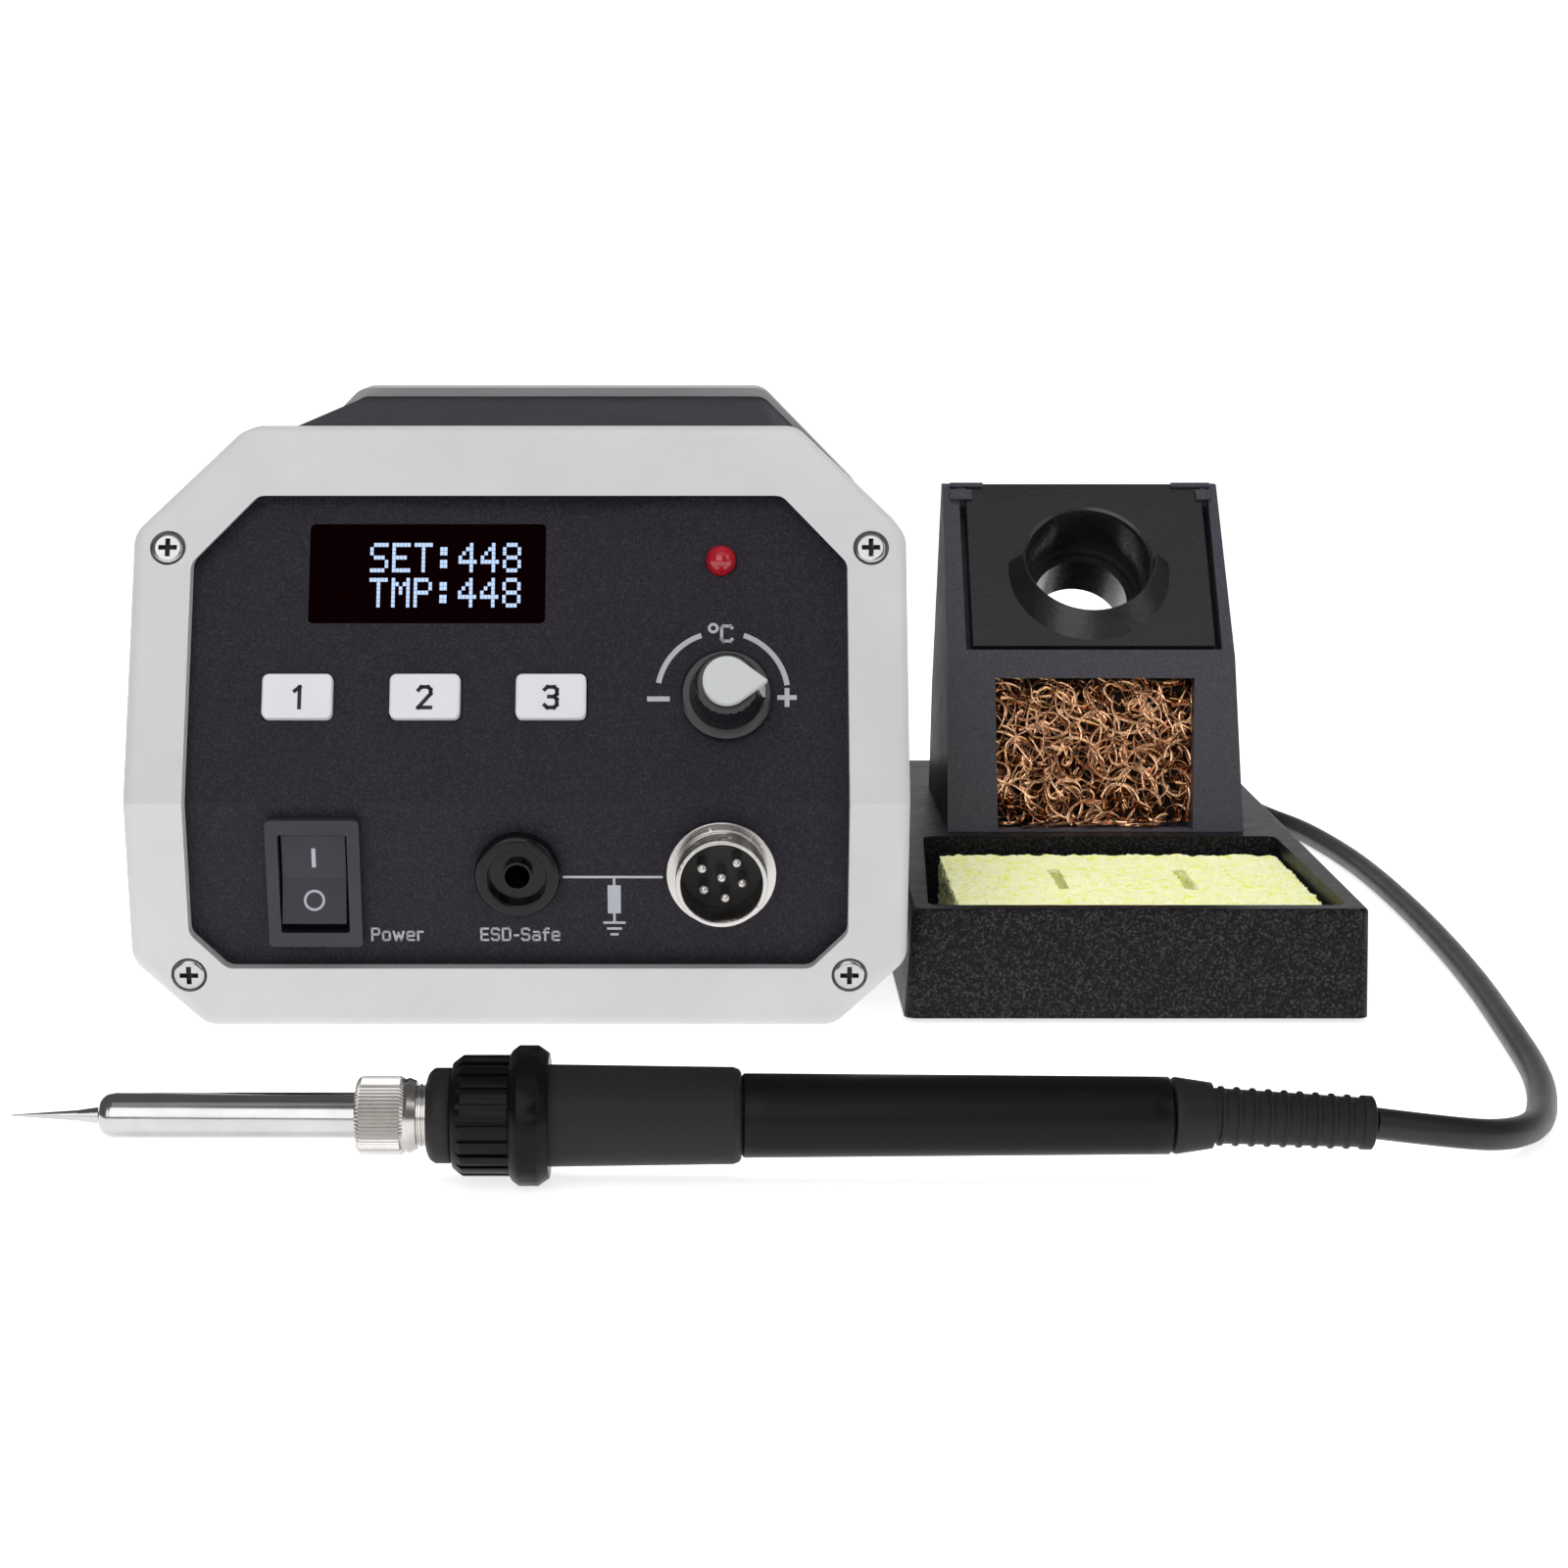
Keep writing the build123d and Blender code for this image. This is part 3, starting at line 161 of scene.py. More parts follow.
def coil_points():
    """Two turns spiralling in on the floor, half a turn changing layer, two spiralling out on top."""
    points = []
    upper_start = COIL_TURNS_BELOW + COIL_CHANGE_TURNS
    all_turns = upper_start + COIL_TURNS_ABOVE
    for step in range(int(all_turns * COIL_STEPS) + 1):
        turns = step / COIL_STEPS
        inward = min(turns, COIL_TURNS_BELOW) / COIL_TURNS_BELOW
        outward = max(turns - upper_start, 0.0) / COIL_TURNS_ABOVE
        radius = COIL_OUTER + (COIL_INNER - COIL_OUTER) * (inward - outward)
        climb = min(max((turns - COIL_TURNS_BELOW) / COIL_CLIMB_TURNS, 0.0), 1.0)
        height = CORD_REST + (COIL_UPPER_LAYER - CORD_REST) * climb
        angle = math.pi / 2 + turns * 2 * math.pi
        x = COIL_CENTRE[0] + radius * math.cos(angle)
        y = COIL_CENTRE[1] + radius * math.sin(angle)
        points.append((x, y, height))
    return points


# ---- material helpers ----
COAT_ROUGH = 0.1
# How much of its colour a lit face keeps where the room's light falls on it.
UNLIT_SHARE = 0.15


class Look:
    """One node material around a Principled shader, in object coordinates."""

    def __init__(self, name, colour, rough=0.5, metal=0.0, coat=0.0, specular=0.5):
        self.material = bpy.data.materials.new(name)
        self.material.use_nodes = True
        self.nodes = self.material.node_tree.nodes
        self.links = self.material.node_tree.links
        self.shader = self.nodes["Principled BSDF"]
        self.shader.inputs["Base Color"].default_value = (*colour, 1)
        self.shader.inputs["Roughness"].default_value = rough
        self.shader.inputs["Metallic"].default_value = metal
        self.shader.inputs["Coat Weight"].default_value = coat
        self.shader.inputs["Coat Roughness"].default_value = COAT_ROUGH
        self.shader.inputs["Specular IOR Level"].default_value = specular
        self.coordinates = self.nodes.new("ShaderNodeTexCoord").outputs["Object"]
        self.colour = colour
        self.height = None

    def noise(self, size_mm, detail=3.0, stretch=(1, 1, 1), rough=0.55):
        mapping = self.nodes.new("ShaderNodeMapping")
        mapping.inputs["Scale"].default_value = stretch
        texture = self.nodes.new("ShaderNodeTexNoise")
        texture.inputs["Scale"].default_value = 1 / (size_mm * MM)
        texture.inputs["Detail"].default_value = detail
        texture.inputs["Roughness"].default_value = rough
        self.links.new(self.coordinates, mapping.inputs["Vector"])
        self.links.new(mapping.outputs["Vector"], texture.inputs["Vector"])
        return texture.outputs["Fac"]

    def ramp(self, value, low, high, at=(0.3, 0.7)):
        ramp = self.nodes.new("ShaderNodeValToRGB")
        ramp.color_ramp.elements[0].position = at[0]
        ramp.color_ramp.elements[1].position = at[1]
        ramp.color_ramp.elements[0].color = (*low, 1)
        ramp.color_ramp.elements[1].color = (*high, 1)
        self.links.new(value, ramp.inputs["Fac"])
        return ramp.outputs["Color"]

    def vary_colour(self, value, spread):
        low = [c * (1 - spread) for c in self.colour]
        high = [min(c * (1 + spread), 1.0) for c in self.colour]
        self.links.new(self.ramp(value, low=low, high=high), self.shader.inputs["Base Color"])

    def vary_rough(self, value, low, high):
        spread = self.nodes.new("ShaderNodeMapRange")
        spread.inputs["To Min"].default_value = low
        spread.inputs["To Max"].default_value = high
        self.links.new(value, spread.inputs["Value"])
        self.links.new(spread.outputs["Result"], self.shader.inputs["Roughness"])

    def bump(self, value, depth_mm, strength=1.0):
        bump = self.nodes.new("ShaderNodeBump")
        bump.inputs["Distance"].default_value = depth_mm * MM
        bump.inputs["Strength"].default_value = strength
        self.links.new(value, bump.inputs["Height"])
        if self.height is not None:
            self.links.new(self.height, bump.inputs["Normal"])
        self.height = bump.outputs["Normal"]
        self.links.new(self.height, self.shader.inputs["Normal"])


def moulded(name, colour, rough, grain_mm, depth_mm, spread=0.08, coat=0.0, specular=0.3):
    """Moulded plastic: fine grain, slightly uneven colour and gloss."""
    look = Look(name, colour, rough=rough, coat=coat, specular=specular)
    look.vary_colour(look.noise(size_mm=14), spread=spread)
    look.vary_rough(look.noise(size_mm=3), low=rough - 0.06, high=rough + 0.08)
    look.bump(look.noise(size_mm=grain_mm, detail=2), depth_mm=depth_mm)
    return look.material


def speckled(name, dark, light, rough, grain_mm, depth_mm, specular, at=(0.42, 0.68)):
    """Coarsely grained black plastic with a painted highlight: its colour turns lighter on the grain tops, where
    they catch the light.
    """
    look = Look(name, dark, rough=rough, specular=specular)
    grain = look.noise(size_mm=grain_mm, detail=3, rough=0.7)
    look.links.new(look.ramp(grain, low=dark, high=light, at=at), look.shader.inputs["Base Color"])
    look.vary_rough(look.noise(size_mm=4), low=rough - 0.08, high=rough + 0.1)
    look.bump(grain, depth_mm=depth_mm)
    return look.material


def metal(name, colour, rough, streak=(1, 1, 1), depth_mm=0.004):
    """Plated or bare metal, with faint streaks from machining."""
    look = Look(name, colour, rough=rough, metal=1.0)
    look.vary_colour(look.noise(size_mm=6), spread=0.06)
    look.vary_rough(look.noise(size_mm=0.5, detail=2, stretch=streak), low=rough * 0.7, high=rough * 1.4)
    look.bump(look.noise(size_mm=0.3, detail=2, stretch=streak), depth_mm=depth_mm)
    return look.material


def glowing(name, colour, strength):
    """A lit face that is dim itself, so that its own colour shows rather than the room's light."""
    look = Look(name, [channel * UNLIT_SHARE for channel in colour], rough=0.5)
    look.shader.inputs["Emission Color"].default_value = (*colour, 1)
    look.shader.inputs["Emission Strength"].default_value = strength
    look.vary_rough(look.noise(size_mm=1), low=0.4, high=0.6)
    return look.material


def clear_red():
    """The lamp's clear red lens."""
    look = Look("led_red", (0.34, 0.006, 0.016), rough=0.08, coat=0.3)
    look.shader.inputs["Subsurface Weight"].default_value = 0.25
    look.shader.inputs["Subsurface Radius"].default_value = (0.003, 0.0005, 0.0005)
    look.vary_colour(look.noise(size_mm=2), spread=0.2)
    return look.material


def copper_wool():
    """Bright turnings, uneven in colour and gloss."""
    look = Look("brass_wool", (0.70, 0.38, 0.22), rough=0.12, metal=1.0)
    look.vary_colour(look.noise(size_mm=3), spread=0.5)
    look.vary_rough(look.noise(size_mm=1), low=0.06, high=0.2)
    look.bump(look.noise(size_mm=0.4, detail=2), depth_mm=0.03)
    return look.material


def cellulose():
    """A dry yellow sponge with deeper yellow pits."""
    look = Look("sponge_yellow", (0.92, 0.94, 0.54), rough=0.95, specular=0.1)
    pits, fibre = (0.90, 0.92, 0.20), (0.97, 0.98, 0.60)
    colour = look.ramp(look.noise(size_mm=1.6, detail=4), low=pits, high=fibre, at=(0.34, 0.5))
    look.links.new(colour, look.shader.inputs["Base Color"])
    look.bump(look.noise(size_mm=1.1, detail=4, stretch=(1, 0.6, 1)), depth_mm=0.6)
    look.bump(look.noise(size_mm=0.3, detail=2), depth_mm=0.15)
    return look.material


def circuit_board():
    """A green board with faint streaks, like tracks under varnish."""
    look = Look("circuit_board", (0.02, 0.14, 0.06), rough=0.35, coat=0.3)
    look.vary_colour(look.noise(size_mm=5), spread=0.3)
    look.bump(look.noise(size_mm=1.5, detail=1, stretch=(1, 0.1, 1)), depth_mm=0.03)
    return look.material


LOOKS = {
    "grey_shell": moulded(
        "grey_shell", (0.55, 0.55, 0.557), rough=0.5, grain_mm=0.35, depth_mm=0.02, spread=0.03
    ),
    "black_panel": speckled(
        "black_panel", (0.009, 0.007, 0.012), (0.042, 0.038, 0.050),
        rough=0.48, grain_mm=0.4, depth_mm=0.06, specular=0.18, at=(0.46, 0.82),
    ),
    "black_casing": moulded(
        "black_casing", (0.028, 0.028, 0.035),
        rough=0.7, grain_mm=0.4, depth_mm=0.03, spread=0.12, specular=0.05,
    ),
    "window": moulded(
        "window", (0.003, 0.0003, 0.0006),
        rough=0.3, grain_mm=0.6, depth_mm=0.002, spread=0.2, specular=0.0,
    ),
    "circuit_board": circuit_board(),
    "component_black": moulded(
        "component_black", (0.02, 0.02, 0.02), rough=0.45, grain_mm=0.5, depth_mm=0.02
    ),
    "led_red": clear_red(),
    "button_white": moulded(
        "button_white", (0.64, 0.65, 0.69), rough=0.4, grain_mm=0.6, depth_mm=0.006, spread=0.02
    ),
    "knob_black": moulded(
        "knob_black", (0.006, 0.006, 0.008),
        rough=0.26, grain_mm=0.5, depth_mm=0.012, spread=0.1, specular=0.5,
    ),
    "knob_grey": moulded(
        "knob_grey", (0.52, 0.53, 0.54), rough=0.45, grain_mm=0.5, depth_mm=0.01, spread=0.03
    ),
    "switch_black": moulded(
        "switch_black", (0.027, 0.025, 0.036),
        rough=0.3, grain_mm=0.5, depth_mm=0.012, spread=0.12, specular=0.3,
    ),
    "nickel": metal("nickel", (0.52, 0.50, 0.485), rough=0.2),
    "screw_steel": metal("screw_steel", (0.42, 0.42, 0.43), rough=0.2),
    "chrome_tube": metal("chrome_tube", (0.46, 0.46, 0.465), rough=0.15, streak=(0.02, 1, 1)),
    "heater_ceramic": moulded(
        "heater_ceramic", (0.7, 0.66, 0.58), rough=0.6, grain_mm=0.4, depth_mm=0.02
    ),
    "core_steel": metal("core_steel", (0.3, 0.3, 0.32), rough=0.5, streak=(1, 0.02, 1)),
    "winding_tape": moulded("winding_tape", (0.62, 0.42, 0.05), rough=0.35, grain_mm=1.5, depth_mm=0.03),
    "heat_sink_alloy": metal("heat_sink_alloy", (0.6, 0.6, 0.62), rough=0.38, streak=(1, 0.02, 1)),
    "fuse_glass": moulded(
        "fuse_glass", (0.7, 0.78, 0.78), rough=0.1, grain_mm=1, depth_mm=0.002, specular=0.5
    ),
    "rubber": moulded(
        "rubber", (0.011, 0.011, 0.012),
        rough=0.5, grain_mm=0.3, depth_mm=0.03, spread=0.12, specular=0.2,
    ),
    "handle_black": moulded(
        "handle_black", (0.003, 0.003, 0.003),
        rough=0.36, grain_mm=0.6, depth_mm=0.006, spread=0.1, specular=0.14,
    ),
    "stand_black": speckled(
        "stand_black", (0.040, 0.037, 0.047), (0.068, 0.065, 0.082),
        rough=0.42, grain_mm=0.4, depth_mm=0.04, specular=0.3,
    ),
    "brass_wool": copper_wool(),
    "sponge_yellow": cellulose(),
    "cable_black": moulded(
        "cable_black", (0.010, 0.010, 0.011),
        rough=0.42, grain_mm=0.5, depth_mm=0.012, spread=0.1, specular=0.3,
    ),
}
# A node listed here wears its own variant of its slot's look.
VARIANTS = {
    "stand_base": speckled(
        "stand_base", (0.003, 0.003, 0.004), (0.080, 0.077, 0.087),
        rough=0.4, grain_mm=0.45, depth_mm=0.09, specular=0.13, at=(0.49, 0.78),
    ),
    "funnel_plate": moulded(
        "funnel_plate", (0.014, 0.014, 0.015),
        rough=0.26, grain_mm=1.0, depth_mm=0.04, spread=0.1, specular=0.5,
    ),
    "esd_jack": moulded(
        "esd_jack", (0.003, 0.003, 0.004),
        rough=0.14, grain_mm=0.6, depth_mm=0.004, spread=0.1, specular=0.25,
    ),
    "ribbed_collar": moulded(
        "ribbed_collar", (0.003, 0.003, 0.003),
        rough=0.3, grain_mm=0.5, depth_mm=0.01, spread=0.1, specular=0.12,
    ),
    "rear_cap": moulded(
        "rear_cap", (0.40, 0.40, 0.405), rough=0.5, grain_mm=0.35, depth_mm=0.02, spread=0.03
    ),
}
PRINT_GREY = moulded("print_grey", (0.40, 0.41, 0.45), rough=0.5, grain_mm=0.3, depth_mm=0.004, spread=0.04)
# Black print on the buttons' digits, and painted shade on the floors of the front screws' cross recesses.
PRINT_AND_SHADE_BLACK = moulded(
    "print_and_shade_black", (0.01, 0.01, 0.012), rough=0.5, grain_mm=0.3, depth_mm=0.004, spread=0.04
)
SCREEN_BLUE = glowing("screen_blue", (0.50, 0.66, 0.96), strength=0.95)
# The wool's dark middle, painted shade between the turnings.
WOOL_SHADE_CORE = moulded("wool_core", (0.012, 0.006, 0.003), rough=0.7, grain_mm=0.8, depth_mm=0.3, spread=0.5)

BEVELS_MM = {
    "stand_tower": 0.25,
    "rocker": 0.4,
    "rocker_switch_housing": 0.4,
    "front_panel": 0.15,
    "iron_socket_shell": 0.2,
    "knob_cap": 0.35,
    "mains_inlet": 0.3,
    "fuse_drawer": 0.3,
    "ribbed_collar": 0.3,
    "front_collar": 0.5,
    "handle_tube": 0.3,
    "tip_sleeve": 0.25,
    "plug_shell": 0.4,
    "plug_coupling_ring": 0.4,
    "rear_panel": 0.15,
    "strain_relief": 0.2,
}
BEVEL_ANGLE = math.radians(35)
WELD_MM = 0.001


def dress_nodes():
    """Every CAD node gets its own variant or its slot's look, and those in BEVELS_MM softened edges."""
    slot_of = {entry["node"]: entry["material_slot"] for entry in RECORD["subparts"]}
    for name, node in frame["nodes"].items():
        node.data.materials.clear()
        node.data.materials.append(VARIANTS.get(name) or LOOKS[slot_of[name]])
        if name in BEVELS_MM:
            weld = node.modifiers.new("weld", "WELD")
            weld.merge_threshold = WELD_MM * MM
            bevel = node.modifiers.new("soft_edges", "BEVEL")
            bevel.width = BEVELS_MM[name] * MM
            bevel.segments = 2
            bevel.limit_method = "ANGLE"
            bevel.angle_limit = BEVEL_ANGLE
            bevel.harden_normals = True


# ---- building helpers ----
def add_mesh(name, vertices, faces, material, body, matrix=None):
    mesh = bpy.data.meshes.new(name)
    points = [matrix @ Vector(v) for v in vertices] if matrix else vertices
    mesh.from_pydata([tuple(p) for p in points], [], faces)
    mesh.materials.append(material)
    mesh.validate()
    piece = add_object(name, mesh)
    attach(piece, body)
    return piece


def prism(outline, thick):
    """Vertices and faces of a flat outline (mm) given a thickness (mm), in metres."""
    count = len(outline)
    vertices = [(x * MM, y * MM, 0) for x, y in outline]
    vertices += [(x * MM, y * MM, thick * MM) for x, y in outline]
    faces = [tuple(range(count - 1, -1, -1)), tuple(range(count, 2 * count))]
    faces += [(i, (i + 1) % count, count + (i + 1) % count, count + i) for i in range(count)]
    return vertices, faces


def joined(prisms):
    """Several prisms as one mesh's vertices and faces."""
    vertices, faces = [], []
    for points, sides in prisms:
        start = len(vertices)
        vertices += points
        faces += [tuple(start + i for i in face) for face in sides]
    return vertices, faces


def bar(x0, y0, x1, y1, thick):
    return prism([(x0, y0), (x1, y0), (x1, y1), (x0, y1)], thick)


def cross(reach, half, thick):
    """An upright cross about the origin: one long bar and two stubs that meet it."""
    return [
        bar(-reach, -half, reach, half, thick),
        bar(-half, half, half, reach, thick),
        bar(-half, -reach, half, -half, thick),
    ]


def ring_arc(centre, radius, width, start, end, thick, steps=40):
    """A flat curved stroke between two angles in degrees."""
    angles = [math.radians(start + (end - start) * i / steps) for i in range(steps + 1)]
    outer, inner = (
        [(centre[0] + reach * math.cos(a), centre[1] + reach * math.sin(a)) for a in angles]
        for reach in (radius + width / 2, radius - width / 2)
    )
    return prism(outer + inner[::-1], thick)


PRINT_THICK = 0.04


def printed(name, prisms, face, x, y, lift, material=PRINT_GREY, body="station", slot="knob_grey"):
    vertices, faces = joined(prisms)
    return add_mesh(name, vertices, faces, material, body, face.matrix(x, y, lift))


# Each letter is one or more running lines of x, y points, on a grid GRID_TALL units high.
LETTERS = {
    "P": [[(0, 0), (0, 7), (3.2, 7), (4, 6.2), (4, 4.2), (3.2, 3.4), (0, 3.4)]],
    "o": [[(0.8, 0), (3, 0), (3.8, 0.8), (3.8, 4.2), (3, 5), (0.8, 5), (0, 4.2), (0, 0.8), (0.8, 0)]],
    "w": [[(0, 5), (1.3, 0), (2.8, 4.4), (4.3, 0), (5.6, 5)]],
    "e": [[(3.6, 0), (0.8, 0), (0, 0.8), (0, 4.2), (0.8, 5), (3, 5), (3.8, 4.2), (3.8, 2.5), (0, 2.5)]],
    "r": [[(0, 0), (0, 5)], [(0, 4.2), (0.8, 5), (2.6, 5)]],
    "a": [[(0.6, 5), (3, 5), (3.8, 4.2), (3.8, 0), (0.8, 0), (0, 0.8), (0, 2), (0.8, 2.8), (3.8, 2.8)]],
    "f": [[(0.8, 0), (0.8, 6.2), (1.6, 7), (2.8, 7)], [(0, 4.6), (2.6, 4.6)]],
    "E": [[(0, 0), (0, 7), (3.8, 7)], [(0, 3.5), (3.4, 3.5)], [(0, 0), (3.8, 0)]],
    "S": [
        [(4, 6.2), (3.2, 7), (0.8, 7), (0, 6.2), (0, 4.4), (0.8, 3.6),
         (3.2, 3.6), (4, 2.8), (4, 0.8), (3.2, 0), (0.8, 0), (0, 0.8)],
    ],
    "D": [[(0, 0), (0, 7), (3.2, 7), (4.2, 6), (4.2, 1), (3.2, 0), (0, 0)]],
    "C": [[(4.6, 6.2), (3.8, 7), (0.9, 7), (0, 6.1), (0, 0.9), (0.9, 0), (3.8, 0), (4.6, 0.8)]],
    "-": [[(0.3, 2.9), (2.3, 2.9)]],
    "1": [[(0.2, 5.7), (1.8, 7), (1.8, 0)]],
    "2": [[(0, 6), (0.9, 7), (3.1, 7), (4, 6.1), (4, 4.7), (0, 0), (4, 0)]],
    "3": [
        [(0, 6.2), (0.9, 7), (3.1, 7), (4, 6.1), (4, 4.6), (3.1, 3.7), (1.4, 3.7)],
        [(3.1, 3.7), (4, 2.8), (4, 0.9), (3.1, 0), (0.9, 0), (0, 0.8)],
    ],
}
GRID_TALL = 7
STROKE_GAP = 2.3


def stroke(x0, y0, x1, y1, weight):
    """A straight stroke of a given weight, as a thin prism that reaches half its weight past its ends."""
    along = Vector((x1 - x0, y1 - y0)).normalized() * weight / 2
    across = Vector((-along.y, along.x))
    start, end = Vector((x0, y0)) - along, Vector((x1, y1)) + along
    corners = (start - across, end - across, end + across, start + across)
    return prism([(corner.x, corner.y) for corner in corners], PRINT_THICK)


def lettering(words, height, weight):
    """Straight-stroked words centred on their place, as prisms; height and stroke weight in mm."""
    unit = (height - weight) / GRID_TALL
    strokes = []
    start = 0.0
    for letter in words:
        lines = LETTERS[letter]
        for line in lines:
            strokes += [(start + x0, y0, start + x1, y1) for (x0, y0), (x1, y1) in zip(line, line[1:])]
        start += max(x for line in lines for x, y in line) + STROKE_GAP
    left, low = (start - STROKE_GAP) / 2, GRID_TALL / 2
    return [
        stroke((x0 - left) * unit, (y0 - low) * unit, (x1 - left) * unit, (y1 - low) * unit, weight)
        for x0, y0, x1, y1 in strokes
    ]


# ---- display ----
GLYPHS = {
    "S": ("01111", "10000", "10000", "01110", "00001", "00001", "11110"),
    "E": ("11111", "10000", "10000", "11110", "10000", "10000", "11111"),
    "T": ("11111", "00100", "00100", "00100", "00100", "00100", "00100"),
    "M": ("10001", "11011", "10101", "10101", "10001", "10001", "10001"),
    "P": ("11110", "10001", "10001", "11110", "10000", "10000", "10000"),
    ":": ("00000", "01100", "01100", "00000", "01100", "01100", "00000"),
    "4": ("00010", "00110", "01010", "10010", "11111", "00010", "00010"),
    "8": ("01110", "10001", "10001", "01110", "10001", "10001", "01110"),
}
# A dot's width with its gap, its height over its width, and the share of it that is lit.
DOT = 0.597
DOT_TALL = 1.2
DOT_FILL = 0.9
# A row's height and a letter's width, both counted in dots with the gap that follows.
ROW_PITCH = 8.25
CELL = 6
TEXT_START = (-9.35, 5.2)
TEXT_LIFT = -0.19


def display_text():
    """Two rows of dot-matrix text behind the dark window's front face."""
    dots = []
    for row, words in enumerate(("SET:448", "TMP:448")):
        for column, letter in enumerate(words):
            for y, line in enumerate(GLYPHS[letter]):
                for x, lit in enumerate(line):
                    if lit == "1":
                        left = (column * CELL + x) * DOT
                        top = -(row * ROW_PITCH + y) * DOT * DOT_TALL
                        low = top - DOT * DOT_TALL * DOT_FILL
                        dots.append(bar(left, low, left + DOT * DOT_FILL, top, PRINT_THICK))
    x, y = UPPER.local(middle("display_window"))
    left, top = x + TEXT_START[0], y + TEXT_START[1]
    printed("display_text", dots, UPPER, left, top, TEXT_LIFT, SCREEN_BLUE, slot="window")


# ---- marks on the panel ----
ARC_CENTRE = (-0.6, 0.3)
ARC_RADIUS = 10.45
ARC_WIDTH = 0.85
ARC_SPANS = ((9, 71), (109, 169))
# A whole ring stops a degree short of closing, so that its two ends don't overlap.
FULL_RING = 359
MINUS_PLACE, MINUS_HALF_LONG, MINUS_HALF_WIDE = (-10.9, -0.37), 1.82, 0.41
PLUS_PLACE, PLUS_REACH, PLUS_HALF_WIDE = (9.7, -0.13), 1.55, 0.38
DEGREE_PLACE, DEGREE_RADIUS, DEGREE_WIDTH, DEGREE_STEPS = (-2.1, 11.4), 0.65, 0.45, 20
SCALE_LETTER_PLACE, SCALE_LETTER_TALL, SCALE_LETTER_WEIGHT = (0.07, 10.5), 3.0, 0.5
BUTTON_ROW = -0.5
BUTTON_FACE = 1.6
DIGIT_TALL, DIGIT_WEIGHT = 4.0, 0.62


def panel_marks():
    """The knob's scale with its minus, plus and degree marks, and the buttons' digits."""
    arcs = [ring_arc(ARC_CENTRE, ARC_RADIUS, ARC_WIDTH, *span, PRINT_THICK) for span in ARC_SPANS]
    printed("knob_scale", arcs, UPPER, 0, 0, 0)
    minus = [bar(-MINUS_HALF_LONG, -MINUS_HALF_WIDE, MINUS_HALF_LONG, MINUS_HALF_WIDE, PRINT_THICK)]
    printed("minus_mark", minus, UPPER, *MINUS_PLACE, 0)
    printed("plus_mark", cross(PLUS_REACH, PLUS_HALF_WIDE, PRINT_THICK), UPPER, *PLUS_PLACE, 0)
    degree = [ring_arc(DEGREE_PLACE, DEGREE_RADIUS, DEGREE_WIDTH, 0, FULL_RING, PRINT_THICK, DEGREE_STEPS)]
    printed("degree_mark", degree, UPPER, 0, 0, 0)
    scale_letter = lettering("C", SCALE_LETTER_TALL, SCALE_LETTER_WEIGHT)
    printed("scale_letter", scale_letter, UPPER, *SCALE_LETTER_PLACE, 0)
    for number in (1, 2, 3):
        body = f"button_{number}"
        x = UPPER.local(middle(f"preset_button_{number}"))[0]
        digit = lettering(str(number), DIGIT_TALL, DIGIT_WEIGHT)
        name = f"digit_{number}"
        printed(name, digit, UPPER, x, BUTTON_ROW, BUTTON_FACE, PRINT_AND_SHADE_BLACK, body, "knob_black")


LABEL_TALL, LABEL_WEIGHT = 2.3, 0.34
LABEL_ROW = -10.5
POWER_LABEL_X, ESD_LABEL_X = -19.6, 0.2
EARTH_ROW = -0.7
EARTH_X = 15.4
WIRE_HALF = 0.2
WIRE_ENDS = (7.2, 23.2)
RESISTOR_HALF, RESISTOR_TOP, RESISTOR_BOTTOM = 1.05, -1.4, -6.2
# The earth sign's three bars: half their length, and the height of their top edge.
EARTH_BARS = ((1.8, -7.6), (1.2, -8.6), (0.65, -9.6))


def lower_marks():
    """The two labels, and the earth symbol with its resistor and its lead between the two sockets."""
    printed("power_label", lettering("Power", LABEL_TALL, LABEL_WEIGHT), LOWER, POWER_LABEL_X, LABEL_ROW, 0)
    printed("esd_label", lettering("ESD-Safe", LABEL_TALL, LABEL_WEIGHT), LOWER, ESD_LABEL_X, LABEL_ROW, 0)
    left, right = EARTH_X - WIRE_HALF, EARTH_X + WIRE_HALF
    resistor_left, resistor_right = EARTH_X - RESISTOR_HALF, EARTH_X + RESISTOR_HALF
    symbol = [
        bar(WIRE_ENDS[0], -WIRE_HALF, WIRE_ENDS[1], WIRE_HALF, PRINT_THICK),
        bar(left, RESISTOR_TOP, right, -WIRE_HALF, PRINT_THICK),
        bar(resistor_left, RESISTOR_BOTTOM, resistor_right, RESISTOR_TOP, PRINT_THICK),
        bar(left, EARTH_BARS[0][1], right, RESISTOR_BOTTOM, PRINT_THICK),
    ]
    for half, y in EARTH_BARS:
        symbol.append(bar(EARTH_X - half, y - 2 * WIRE_HALF, EARTH_X + half, y, PRINT_THICK))
    printed("earth_symbol", symbol, LOWER, 0, EARTH_ROW, 0)


# Places on the panel's two faces: x from the unit's middle, y up the face from the crease between them.
SCREW_TOP = (56.6, 42.2)
SCREW_BOTTOM = (53.1, -29.1)
KNOB_PLACE = (33.3, 18.2)
JACK_PLACE = (-0.1, -12.7)
PANEL_DEPTH = 3.0
CROSS_DEPTH = 1.2
CROSS_REACH, CROSS_HALF_WIDE = 1.45, 0.36
CROSS_FLOOR = 0.3


